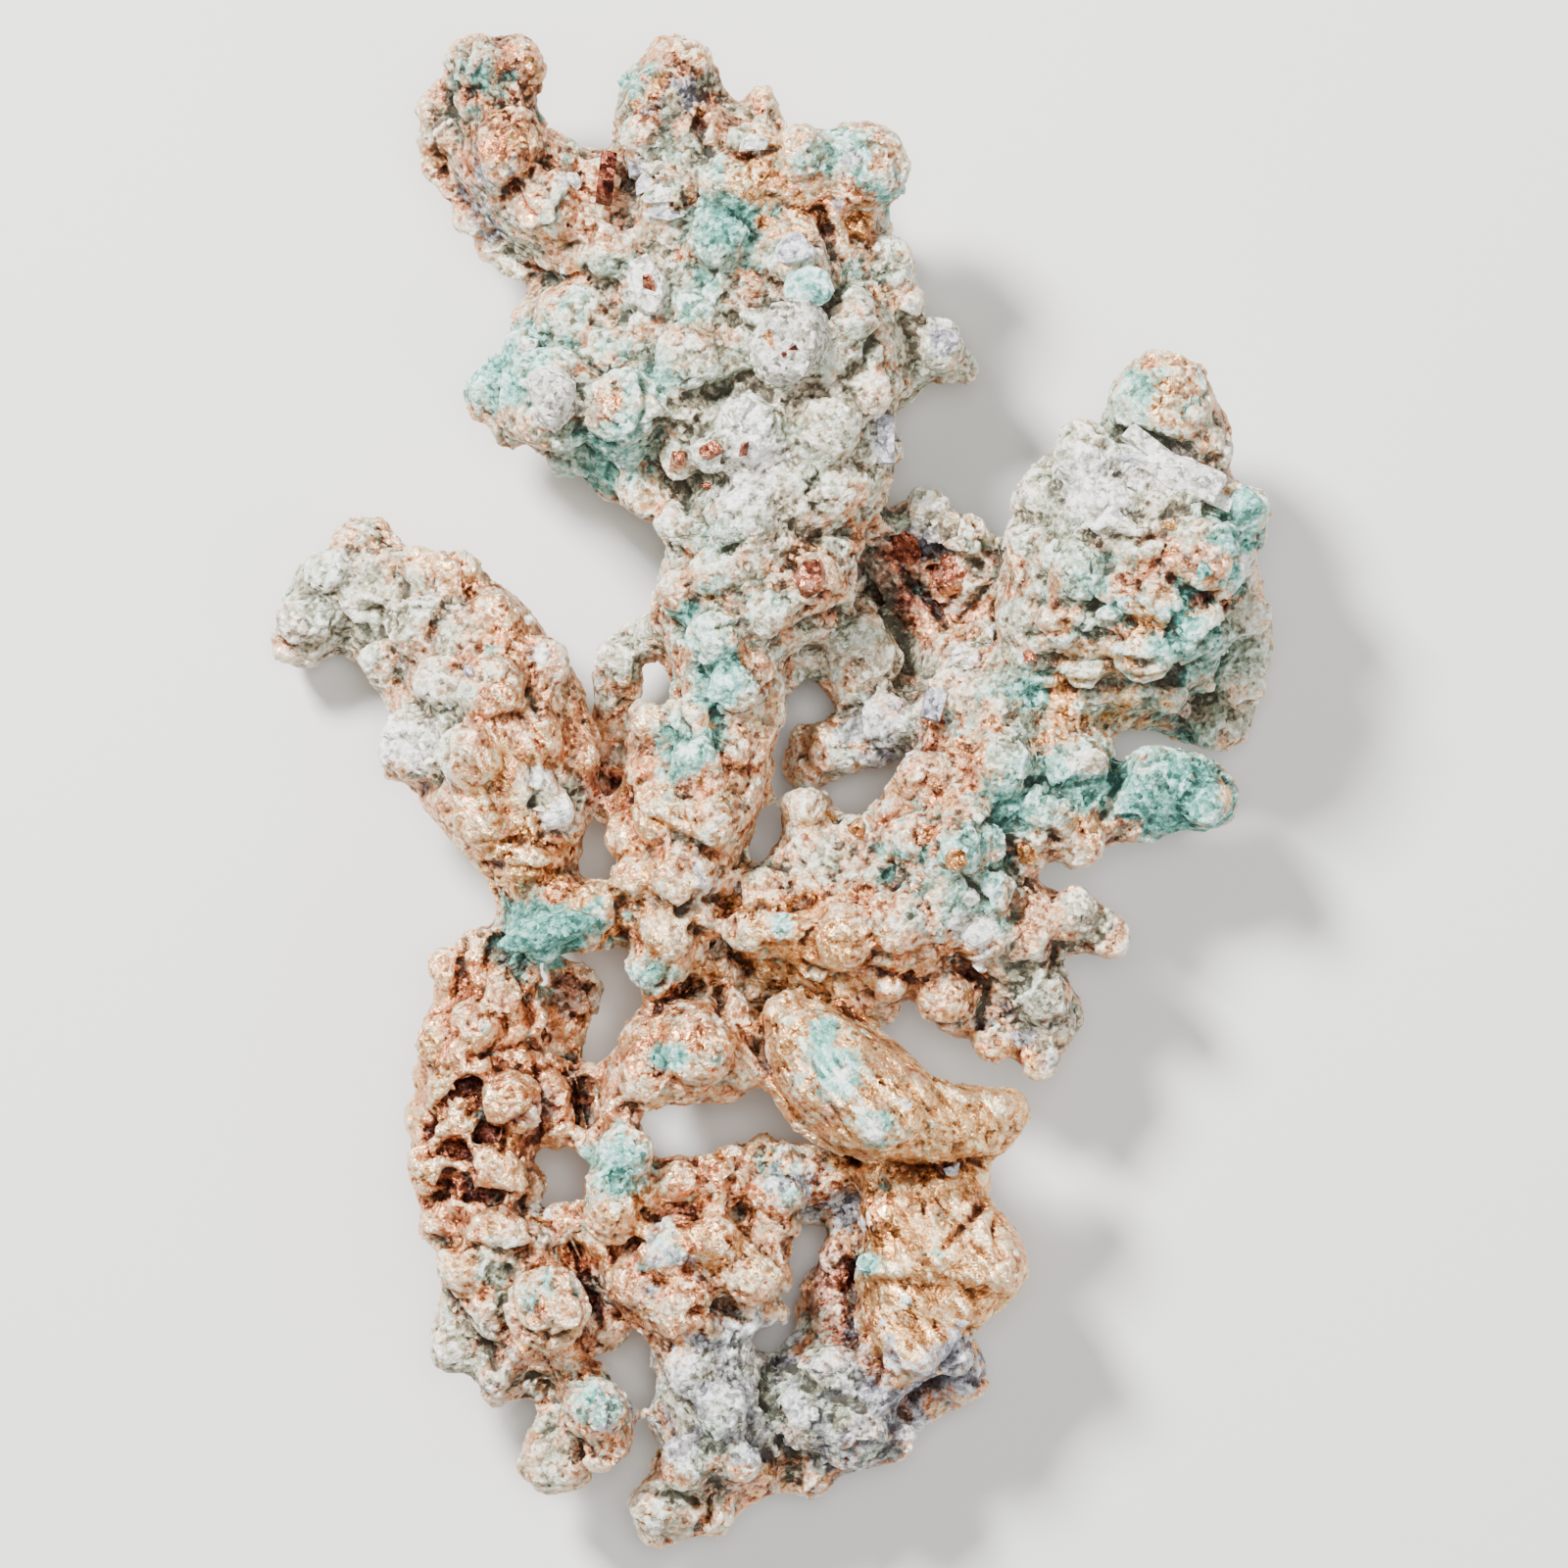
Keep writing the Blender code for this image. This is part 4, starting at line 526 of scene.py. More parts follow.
# %% Press the furrows in
FURROWS = [  # width, depth, and points (x, y), all in millimetres
    # crown
    (.6, .9, (-8.2, 25.4), (-6.6, 22.8), (-5.4, 21.6)),
    (.6, .8, (-8.9, 29.6), (-6.4, 29), (-5.6, 29.9)),
    (.7, .9, (-7, 32), (-4, 32.6), (-2, 33.6), (-.6, 32.2)),
    (.6, 1.0, (-3.2, 38.4), (-1.8, 37.6)),
    (.6, .8, (-1.8, 39.8), (.8, 39.4), (2.6, 39), (5, 40.2)),
    (.6, .7, (-.4, 43.6), (.4, 45.4), (2, 45.8), (3.6, 44.4)),
    (.7, 1.0, (4, 46.8), (4.6, 45.4), (5.2, 43.4)),
    (.8, 1.6, (-12.9, 47), (-12, 46.2)),
    (.6, .8, (-17, 44), (-15.2, 44.6), (-15, 45.8)),
    (.7, .9, (-21.8, 44), (-19.6, 42.4), (-18, 41.6)),
    (.5, .7, (-26.6, 59), (-26.6, 56.6), (-26, 53.8)),
    (.5, .5, (-26, 57.2), (-24, 57), (-22, 56)),
    (.8, 1.4, (-27.6, 51.9), (-27.4, 50.4)),
    (.5, .6, (-14.6, 38.2), (-13.4, 38), (-11.5, 39.2), (-10, 38.6)),
    (.5, .6, (-15.9, 34), (-15.4, 31.6), (-16.4, 29.4), (-18.2, 28.6)),
    (.6, .7, (-13.2, 26), (-15.5, 28), (-15.8, 30)),
    (.5, .6, (-10.4, 34), (-10.2, 31), (-11, 28.6)),
    (.5, .6, (-5.4, 55.2), (-6.2, 53.6), (-5.2, 52)),
    (.5, .5, (-4, 52.2), (-2.4, 51.6), (.4, 52)),
    (.5, .6, (-21, 49.4), (-20.4, 47.6), (-19, 46.6)),
    (.5, .5, (-21.6, 36), (-19.6, 35.4), (-18.4, 37)),
    (.6, .7, (5.6, 33.4), (7.6, 35), (8.4, 37.4)),
    (.6, .7, (10.8, 38.8), (11.4, 36.8), (11.6, 34.2)),
    # trunk
    (.6, 1.1, (-8.4, 8.2), (-7.9, 6.2), (-7.2, 4.8)),
    (.5, .6, (-13, 1), (-10.8, -2), (-7.6, -3.6), (-4.2, -5.4)),
    (.5, .5, (-8, -1.8), (-6.4, -2.8), (-4.4, -1.2)),
    (.7, 1.0, (.2, 12), (2.4, 13.2), (6.4, 14.8)),
    (.5, .8, (1.4, 18.4), (1.6, 16.4), (3, 15.1), (5.2, 15.8)),
    (.8, 1.3, (7, 17.2), (9, 15.6), (11, 12.6), (11, 10)),
    (.5, .7, (-12.4, -9), (-12.2, -12.5), (-11.9, -15.4), (-10.6, -17.6)),
    (.6, .9, (-10.6, -17.8), (-8.4, -16.8), (-6.4, -16)),
    (.5, .7, (-7.4, -9.6), (-6, -8.4), (-3.8, -8.8)),
    (.5, .8, (-6.4, -11), (-4.6, -13.4), (-4, -15)),
    (.5, .8, (-3.4, -10.4), (-3.8, -12.8), (-2, -14.8)),
    (.5, .6, (-4.6, 6.4), (-3.6, 2), (-1.6, 1.6)),
    (.6, .8, (1.6, 21.4), (3.4, 20.6), (6, 21)),
    (.5, .6, (-7.6, 19.4), (-5.4, 18.8), (-3, 19.6)),
    (.5, .6, (-8.6, 14), (-6.4, 12), (-6, 9.6)),
    # left arm
    (.9, 1.2, (-34.4, 14.6), (-32.6, 14.6), (-31.4, 13.6)),
    (.6, .7, (-30.8, 18), (-30.4, 15.8), (-30.6, 13)),
    (.5, .6, (-31, 11.6), (-30.8, 9), (-29.4, 7.4)),
    (.5, .6, (-26.6, 5), (-26.6, 3), (-27.6, .6), (-29.6, -.2)),
    (.5, .5, (-26.4, 5.4), (-23, 5.8), (-20.2, 6.2)),
    (.5, .6, (-19.6, 12.4), (-19.6, 8), (-19, 6.4)),
    (.4, .5, (-20, 6), (-18.6, 3), (-16.4, 0)),
    (.4, .5, (-19.6, 2.6), (-19.4, -1), (-18.8, -3.6), (-16.4, -3.4)),
    (.4, .35, (-26.4, -1.6), (-23, -1.2), (-20, -2)),
    (.4, .35, (-24.6, -4.4), (-21, -4), (-16, -4.6)),
    (.4, .45, (-23.8, -6), (-19, -6.4), (-15.8, -6.4)),
    (.5, .5, (-28, 12.6), (-26.6, 15.4), (-24, 16.4)),
    # right arm
    (.6, .8, (18, -1.8), (20.4, -3), (22.6, -3.6), (24, -5.4)),
    (.6, .8, (28, 3), (27.8, .4), (27, -2)),
    (.5, .6, (21, 1), (23.6, .2), (26.6, .8), (27.6, 2.6)),
    (.5, .6, (1.2, -4), (2.6, -6.4), (4, -8.2)),
    (.5, .6, (5.2, -6.2), (4.6, -8), (1, -9.4), (-1.4, -9.2)),
    (.5, .6, (9.6, -5), (9.6, -8), (8.8, -10.4)),
    (.6, .8, (13, -4.6), (13.6, -6.4), (15.6, -7), (17, -8.6)),
    (.5, .6, (19.4, -4), (19.4, -7), (19.8, -10)),
    (.6, .9, (2, -14.4), (5, -15.4), (8, -14.6), (11.2, -15.2)),
    (.6, .8, (16, -14.6), (17.6, -16), (16.8, -19)),
    (.5, .6, (22.6, -14.8), (23.2, -12.6), (25.6, -12.8)),
    (.5, .5, (19.2, -14.4), (22.2, -14.2), (22.8, -12)),
    (.6, .7, (8, 20), (10, 20.6), (13, 19.6), (17, 18.4)),
    (.5, .5, (13, 18), (15.6, 18), (17.6, 17.6)),
    (.5, .6, (14, 14), (12.6, 16), (10.4, 18)),
    # club
    (.6, .9, (28.2, 20.6), (29.4, 20.2), (31.2, 20.8)),
    (.6, .9, (27.4, 15), (28.2, 14), (29, 13.6)),
    (.6, .8, (32, 17.2), (34, 15.6), (36.8, 15.2), (37.6, 18.6)),
    (.5, .6, (31.6, 22.4), (34, 23.4), (36.6, 23.6)),
    (.7, .9, (34.8, 11), (36.4, 13.2), (37.4, 15)),
    (.8, .9, (21.6, 8.2), (26, 8.2), (31, 8.6), (35, 10.6)),
    (.5, .6, (20.4, 12.6), (24.4, 13), (28, 12.4)),
    (.5, .6, (21.4, 10.8), (26, 10.6), (31, 10.2)),
    (.5, .5, (20.6, 15.6), (24, 14.8), (26.6, 15)),
    (.6, .8, (26.4, 29.4), (28, 29), (30.6, 28.4), (34.4, 27.4), (37, 26.4)),
    (.5, .6, (22.2, 21.8), (22.4, 19), (21.6, 17.6)),
    (.6, .9, (18, 20), (17.8, 17.6), (16.8, 15.8), (14.8, 14.4)),
    # lower left
    (.7, 1.1, (-28.6, -27.6), (-26.5, -25.2), (-24.4, -23.8)),
    (.6, .9, (-24.4, -24), (-24.2, -26.4), (-23.8, -28.2)),
    (.6, .9, (-24, -27.6), (-22, -27.8), (-20, -26.6), (-19.2, -25)),
    (.7, 1.1, (-28.8, -29.6), (-27, -29), (-25.2, -29.4), (-24.8, -31.5)),
    (.6, .9, (-25.4, -31.5), (-24.6, -33), (-22, -32.9), (-20.2, -33.6)),
    (.6, .8, (-28.6, -33.4), (-26.8, -33), (-26.4, -31)),
    (.5, .7, (-22.6, -12), (-23.4, -14), (-24.2, -16.6)),
    (.5, .7, (-25.3, -12.4), (-25.4, -15), (-26.2, -16.5)),
    (.8, 1.1, (-20.6, -14), (-19.6, -16.5), (-19.6, -20)),
    (.6, .9, (-24.5, -21.5), (-22.2, -21), (-18.6, -20.4)),
    (.6, .8, (-27.9, -36.8), (-24, -37.2), (-21.5, -38), (-20, -37.4)),
    (.7, .9, (-21.6, -39), (-21.9, -40.6), (-21.2, -43.8), (-19.5, -44.9), (-17, -44.4)),
    (.7, 1.1, (-15.6, -39.5), (-14.8, -41.5), (-14.4, -43.6)),
    (.5, .7, (-27, -41), (-25, -43.4), (-23.4, -45.4), (-22.8, -47)),
    (.5, .7, (-19.8, -48), (-18, -49.2), (-17.2, -51), (-15.2, -53.8)),
    # lower middle
    (.8, 1.2, (-16.6, -22.4), (-15.6, -24), (-15.4, -26.6)),
    (.6, .9, (-16.6, -33.4), (-15.8, -35.8), (-13.5, -37), (-10.4, -36.4), (-9.2, -34.9)),
    (.6, 1.0, (-10.2, -34.4), (-8, -34), (-6.2, -34)),
    (.5, .6, (-2.8, -30.4), (-3.4, -32.2), (-3.2, -34.2), (-1.5, -36.2), (.6, -38.8)),
    (.6, .7, (-12.4, -25.8), (-10.4, -26), (-9.8, -28)),
    (.5, .8, (-6.5, -42.4), (-4.2, -42), (-2, -43.4)),
    (.5, .6, (-13, -21.6), (-12.8, -24.4)),
    (.7, 1.1, (-.2, -47.5), (-.4, -50), (.8, -52.2), (1.6, -55.6), (1.4, -57.6)),
    (.8, 1.1, (-5.8, -60.4), (-5.4, -58.4), (-4.6, -57)),
    (.5, .5, (-12, -56.6), (-9, -57.4), (-6.2, -58.4)),
    (.5, .5, (-2, -50.4), (-1.6, -52.6), (-.2, -54.2)),
    (.7, 1.1, (-4.6, -15.2), (-4.3, -17), (-4.2, -18.4)),
    # lower right
    (.5, .6, (-1.2, -17), (-1.2, -21), (-.2, -24.4), (2.8, -28), (6.4, -29.8)),
    (.8, 1.1, (6.6, -29.9), (10, -31), (13, -31), (17.6, -30.4)),
    (.6, .8, (2.4, -16.8), (5, -17.2), (9, -19.6)),
    (.5, .7, (17.8, -32.7), (16, -34.8), (13.9, -36.9)),
    (.5, .8, (18.1, -34.8), (18.2, -36.8), (18.6, -37.6)),
    (1.0, .7, (7, -40.2), (11, -40), (15, -40.6), (18.4, -41.6)),
    (.6, .7, (7.2, -44), (8.4, -46.2), (8.2, -48.4)),
    (.6, .8, (16.2, -44), (14.6, -46.4), (13.4, -48.2), (11.6, -49.6)),
    (.6, .9, (6.3, -38.6), (6.2, -42), (6.2, -45)),
    (.6, .6, (.6, -46.6), (3, -48.6), (7.4, -50)),
    (1.3, .5, (9, -32), (11, -33.6), (14, -33)),
    (.5, .4, (11, -23.6), (12.6, -26), (12, -28.6))]
FURROW_SIZE = (0.85, 0.95)  # how much of the widths and depths is used
FURROW_REACH = 2.5  # a furrow is forgotten beyond this many widths


def furrow_depths(places):
    """How deep the furrows press each place."""
    depths = np.zeros(len(places))
    for width, depth, *points in FURROWS:
        width, depth = width * FURROW_SIZE[0] * MM, depth * FURROW_SIZE[1] * MM
        reach = width * FURROW_REACH
        for start, end in zip(points, points[1:]):
            a, b = np.array(start) * MM, np.array(end) * MM
            low, high = np.minimum(a, b) - reach, np.maximum(a, b) + reach
            near = np.flatnonzero(((places[:, :2] > low) & (places[:, :2] < high)).all(axis=1))
            along = np.clip((places[near, :2] - a) @ (b - a) / ((b - a) @ (b - a)), 0, 1)
            away = places[near, :2] - (a + along[:, None] * (b - a))
            pressed = depth * np.exp(-(away ** 2).sum(axis=1) / width ** 2)
            depths[near] = np.maximum(depths[near], pressed)
    return depths


def furrowed(mesh):
    """Presses the furrows into the skin where it faces up."""
    facing = vertex_vectors(mesh, "normal")
    places = place_rows(mesh)
    depths = furrow_depths(places) * np.clip(facing[:, 2] * 2, 0, 1)
    return move_vertices(mesh, places - facing * depths[:, None])


skin = furrowed(skin)
print("furrows:", len(FURROWS))

# %% [markdown]
# ## Relief
# The skin needs finer layers: pillows, folds, crumpled facets, flakes that run in streaks
# where the metal is smooth, and grains where there is crust.  Geometry nodes push the skin
# in and out by noise that depends on the place alone, so a place always gets the same
# wrinkle.  The same nodes break up the borders of the finishes.

# %% Helpers for node trees
def link(tree, source, target):
    tree.links.new(source, target)


def fill_inputs(tree, node, inputs):
    """Sets inputs to values or joins them to sockets.  They go by name, or by number as i0."""
    for name, value in inputs.items():
        key = int(name[1:]) if name[1:].isdigit() else name.replace("_", " ")
        if isinstance(value, bpy.types.NodeSocket):
            link(tree, value, node.inputs[key])
        else:
            node.inputs[key].default_value = value
    return node


def add_node(tree, kind, settings=None, **inputs):
    node = tree.nodes.new(kind)
    for name, value in (settings or {}).items():
        setattr(node, name, value)
    return fill_inputs(tree, node, inputs)


def math_node(tree, operation, first, second=0.0, clamp=False):
    settings = {"operation": operation, "use_clamp": clamp}
    return add_node(tree, "ShaderNodeMath", settings, i0=first, i1=second).outputs[0]


def vector_node(tree, operation, first, second):
    return add_node(tree, "ShaderNodeVectorMath", {"operation": operation}, i0=first,
                    i1=second).outputs[0]


def arithmetic(tree):
    """Short names for adding, subtracting and multiplying in one tree."""
    def worker(operation):
        return lambda first, second: math_node(tree, operation, first, second)
    return worker("ADD"), worker("SUBTRACT"), worker("MULTIPLY")


def cells(tree, where, scale):
    """Cells around scattered points, each with a random colour."""
    return add_node(tree, "ShaderNodeTexVoronoi", {"feature": "F1"}, Vector=where,
                    Scale=scale).outputs


def tilted_heights(tree, where, cell):
    """Makes each cell a small plane that stands at a random angle."""
    away = vector_node(tree, "SUBTRACT", where, cell["Position"])
    tilt = vector_node(tree, "SUBTRACT", cell["Color"], (0.5, 0.5, 0.5))
    return add_node(tree, "ShaderNodeVectorMath", {"operation": "DOT_PRODUCT"}, i0=away,
                    i1=tilt).outputs["Value"]


FLAKE_TURN = math.radians(52)
FLAKE_STRETCH = 0.32


def flake_lie(tree, where):
    """Turns and stretches space, so that flakes lie in streaks along the metal."""
    turned = add_node(tree, "ShaderNodeVectorRotate", {"rotation_type": "Z_AXIS"},
                      Vector=where, Angle=FLAKE_TURN).outputs[0]
    return vector_node(tree, "MULTIPLY", turned, (FLAKE_STRETCH, 1.0, 1.0))

# %% The layers of the relief
PILLOWS = (2.8 * MM, 0.20 * MM, 0.35)  # width, height, how much is left on smooth metal
FOLDS = (1.0 * MM, 0.07 * MM, 0.25)
CRUMPLES = (3.2 * MM, 0.25, 0.5)  # width, steepness, how much is left on smooth metal
FLAKES = (0.75 * MM, 0.27)  # width, steepness
STREAKS = (1.0 * MM, 0.40)
GRAINS = (0.6 * MM, 0.13 * MM)  # width, height
DRIFT = (4.5 * MM, 2.6 * MM)  # width and reach of the slow noise that bends all layers
PILLOW_LEVEL, FOLD_LEVEL, GRAIN_LEVEL = 0.35, 0.6, 0.55  # values that leave the skin in place
SHARP_CREASE = 5.0
FOLD_SHIFT, LUMP_SHIFT, FINISH_SHIFT = 0.03, 0.05, 0.1  # metres between layers of one noise
LUMP_WIDTH = 2.2 * MM
BROKEN = [  # finish, how much lies everywhere, width of its breaks, raggedness, lumpiness
    ("gold", 0.12, 2.4 * MM, 1.3, 0.4), ("red", 0.0, 2.0 * MM, 0.9, 0.3),
    ("patina", 0.05, 1.6 * MM, 1.4, 0.35), ("stone", 0.0, 1.8 * MM, 1.3, 0.3),
    ("crust", 0.16, 1.4 * MM, 1.5, 0.5), ("sage", 0.0, 3.0 * MM, 1.2, 0.5),
    ("chalk", 0.0, 0.9 * MM, 1.2, 0.3)]


def pillows(tree, noise):
    """Round swellings with sharp creases between them, from 0 to 1."""
    fold = math_node(tree, "SUBTRACT", noise, 0.5)
    fold = math_node(tree, "ABSOLUTE", fold)
    return math_node(tree, "MULTIPLY", fold, SHARP_CREASE, True)


def left_on_smooth(tree, rough, share):
    """One on rough skin, and a share of it on smooth metal."""
    return add_node(tree, "ShaderNodeMapRange", i0=rough, i3=share, i4=1.0).outputs[0]

# %% The relief tree
def relief_height(tree, place, kept):
    """The height of all layers together, and the bent space that they use."""
    def noise(where, width, detail):
        return add_node(tree, "ShaderNodeTexNoise", Vector=where, Scale=1 / width,
                        Detail=detail, Roughness=0.55, Distortion=0.5).outputs

    plus, minus, times = arithmetic(tree)
    drift = noise(place, DRIFT[0], 2.0)["Color"]
    bent = vector_node(tree, "ADD", place, vector_node(tree, "MULTIPLY", drift, (DRIFT[1],) * 3))
    smooth = kept("smooth")
    rough = minus(1.0, smooth)
    wrinkle = pillows(tree, noise(bent, PILLOWS[0], 1.0)[0])
    beside = vector_node(tree, "ADD", bent, (FOLD_SHIFT, 0, 0))
    crease = minus(1.0, pillows(tree, noise(beside, FOLDS[0], 1.5)[0]))
    crumple = tilted_heights(tree, bent, cells(tree, bent, 1 / CRUMPLES[0]))
    along = flake_lie(tree, bent)
    flake = times(tilted_heights(tree, bent, cells(tree, bent, 1 / FLAKES[0])), FLAKES[1])
    streak = times(tilted_heights(tree, along, cells(tree, along, 1 / STREAKS[0])), STREAKS[1])
    flake = add_node(tree, "ShaderNodeMix", {"data_type": "FLOAT"}, i0=smooth, i2=flake,
                     i3=streak).outputs[0]
    grain = minus(GRAIN_LEVEL, cells(tree, bent, 1 / GRAINS[0])["Distance"])
    wrinkle, crease = minus(wrinkle, PILLOW_LEVEL), minus(crease, FOLD_LEVEL)
    wrinkle, crease, crumple = (
        times(times(value, size), left_on_smooth(tree, rough, share))
        for value, (_, size, share) in zip((wrinkle, crease, crumple),
                                           (PILLOWS, FOLDS, CRUMPLES)))
    height = plus(plus(plus(wrinkle, crease), crumple), flake)
    return plus(height, times(times(grain, GRAINS[1]), kept("crust"))), bent


def broken_amount(tree, place, lump, kept, number):
    """How much of a finish lies at each place, with borders broken up by noise."""
    name, base, width, ragged, lumpy = BROKEN[number]
    beside = vector_node(tree, "ADD", place, (FINISH_SHIFT * number, 0, 0))
    noise = add_node(tree, "ShaderNodeTexNoise", Vector=beside, Scale=1 / width, Detail=4.0,
                     Roughness=0.65).outputs[0]
    plus, minus, times = arithmetic(tree)
    amount = plus(plus(kept(name), base), times(minus(noise, 0.5), ragged))
    return plus(amount, times(minus(lump[number % 3], 0.5), lumpy))


def make_relief():
    tree = bpy.data.node_groups.new("skin relief", "GeometryNodeTree")
    tree.interface.new_socket("Geometry", in_out="INPUT", socket_type="NodeSocketGeometry")
    tree.interface.new_socket("Geometry", in_out="OUTPUT", socket_type="NodeSocketGeometry")
    start = tree.nodes.new("NodeGroupInput")
    end = tree.nodes.new("NodeGroupOutput")
    place = tree.nodes.new("GeometryNodeInputPosition").outputs[0]
    facing = tree.nodes.new("GeometryNodeInputNormal").outputs[0]

    def kept(name):
        return add_node(tree, "GeometryNodeInputNamedAttribute", {"data_type": "FLOAT"},
                        i0=name).outputs[0]

    height, bent = relief_height(tree, place, kept)
    offset = add_node(tree, "ShaderNodeVectorMath", {"operation": "SCALE"},
                      i0=facing, Scale=height).outputs[0]
    beside = vector_node(tree, "ADD", bent, (LUMP_SHIFT, 0, 0))
    lump_cells = cells(tree, beside, 1 / LUMP_WIDTH)
    lump = add_node(tree, "ShaderNodeSeparateXYZ", i0=lump_cells["Color"]).outputs
    geometry = start.outputs[0]
    for number, finish in enumerate(BROKEN):
        amount = broken_amount(tree, place, lump, kept, number)
        geometry = add_node(tree, "GeometryNodeStoreNamedAttribute", {"data_type": "FLOAT"},
                            Geometry=geometry, Name="broken " + finish[0],
                            Value=amount).outputs[0]
    moved = add_node(tree, "GeometryNodeSetPosition", Geometry=geometry, Offset=offset)
    link(tree, moved.outputs[0], end.inputs[0])
    return tree

# %% Helpers for values that are kept on the skin
NEAR_ROUNDS, WIDE_ROUNDS = 6, 60  # rounds of smoothing, for narrow and for wide hollows
STRONGEST = 2.5  # no hollow or ridge counts for more than this


def keep_values(mesh, name, values):
    """Keeps one number for each vertex of a mesh under a name."""
    layer = mesh.attributes.get(name) or mesh.attributes.new(name, "FLOAT", "POINT")
    layer.data.foreach_set("value", np.asarray(values, dtype=np.float32))


def hollowness(mesh, rounds):
    """How far each vertex stands out from the smoothed skin, as a share of the usual."""
    places = place_rows(mesh)
    ends = np.empty(len(mesh.edges) * 2, dtype=np.int64)
    mesh.edges.foreach_get("vertices", ends)
    one, two = ends[0::2], ends[1::2]
    count = len(places)
    neighbours = np.bincount(one, minlength=count) + np.bincount(two, minlength=count)
    even = places.copy()
    for _ in range(rounds):
        for axis in range(3):
            pull = np.bincount(one, weights=even[two, axis], minlength=count)
            pull += np.bincount(two, weights=even[one, axis], minlength=count)
            even[:, axis] = 0.5 * even[:, axis] + 0.5 * pull / neighbours
    height = np.einsum("ij,ij->i", places - even, vertex_vectors(mesh, "normal"))
    return np.clip(height / height.std(), -STRONGEST, STRONGEST)


def kept_values(mesh, name):
    values = np.empty(len(mesh.vertices), dtype=np.float32)
    mesh.attributes[name].data.foreach_get("value", values)
    return values

# %% Lay the finishes on the skin
FINISHES = [  # name, its patches, how much of it lies everywhere
    ("smooth", SMOOTH_METAL, 0.0), ("crust", CRUST, 0.35), ("chalk", CHALK, 0.0),
    ("stone", STONE, 0.1), ("patina", PATINA, 0.12), ("bare", BARE, 0.2),
    ("gold", GOLD, 0.15), ("red", RED, 0.1), ("dim", DIM, 0.0)]
BARE_CLEARS, PATINA_CLEARS = 0.45, 0.35
SAGE_EVERYWHERE, SAGE_NEAR_PATINA = 0.38, 0.7


def lay_finishes(mesh):
    """Less crust lies on bare and on green metal, and near green it is green-grey."""
    places = place_rows(mesh)
    for name, patches, base in FINISHES:
        keep_values(mesh, name, patch_amount(places, patches, base))
    crust, bare, patina = (kept_values(mesh, name) for name in ("crust", "bare", "patina"))
    keep_values(mesh, "crust", crust - BARE_CLEARS * bare - PATINA_CLEARS * patina)
    keep_values(mesh, "sage", SAGE_EVERYWHERE + SAGE_NEAR_PATINA * patina)


lay_finishes(skin)
rough_skin = add_object("rough skin", skin)
relief = rough_skin.modifiers.new("relief", "NODES")
relief.node_group = make_relief()
skin = rested(baked(rough_skin, "skin"))
# hollow and valley set the painted shade in hollows and painted highlight on ridges; valley also
# lays red oxide and crust in wide hollows
keep_values(skin, "hollow", hollowness(skin, NEAR_ROUNDS))
keep_values(skin, "valley", hollowness(skin, WIDE_ROUNDS))
print("skin with relief:", len(skin.vertices), "vertices")

# %% [markdown]
# ## Cut the skin into its limbs
# Each limb of the skin stands for one solid, so every facet goes to the solid that it is
# nearest to.  A few rounds of voting between neighbours straighten the borders.  The
# borders lie where the cuts were, and both sides of a border share the same edge, so no
# seam shows.  A lid inside closes each limb there.

# %% Share out the facets
VOTES = 12


def solid_skins():
    """A search tree of all solids, and which limb each of its triangles belongs to."""
    corners, triangles, owners = [], [], []
    for number, limb in enumerate(LIMBS):
        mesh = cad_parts[limb].data
        mesh.calc_loop_triangles()
        first = len(corners)
        corners += [vert.co.copy() for vert in mesh.vertices]
        triangles += [[first + v for v in tri.vertices] for tri in mesh.loop_triangles]
        owners += [number] * len(mesh.loop_triangles)
    return BVHTree.FromPolygons(corners, triangles), owners


def facet_owners(mesh):
    tree, owners = solid_skins()
    places = place_rows(mesh)
    nearest = np.array([owners[tree.find_nearest(Vector(place))[2]] for place in places])
    corners = np.empty(len(mesh.polygons) * 4, dtype=np.int64)
    mesh.loops.foreach_get("vertex_index", corners)
    corners = corners.reshape(-1, 4)
    votes = np.zeros((len(places), len(LIMBS)))
    votes[np.arange(len(places)), nearest] = 1
    for _ in range(VOTES):
        facets = votes[corners].sum(axis=1)
        votes[:] = 0
        for corner in range(4):
            np.add.at(votes, corners[:, corner], facets)
        votes /= votes.sum(axis=1, keepdims=True)
    return corners, votes[corners].sum(axis=1).argmax(axis=1)

# %% Lids
def lids(places, facets):
    """Closes a limb where it was cut off: a fan over each open loop of edges."""
    ends = np.stack([facets, np.roll(facets, -1, axis=1)], axis=-1).reshape(-1, 2)
    ways = set(map(tuple, ends.tolist()))
    following = {}
    for start, end in ways:
        if (end, start) not in ways:
            following.setdefault(end, []).append(start)
    centres, fans = [], []
    while following:
        first = min(following)
        loop = [first]
        while loop[-1] in following:
            ahead = following[loop[-1]]
            step = ahead.pop()
            if not ahead:
                del following[loop[-1]]
            loop.append(step)
            if step == first:
                break
        middle = len(places) + len(centres)
        centres.append(places[loop[:-1]].mean(axis=0))
        fans += [(one, two, middle) for one, two in zip(loop, loop[1:])]
    return centres, fans
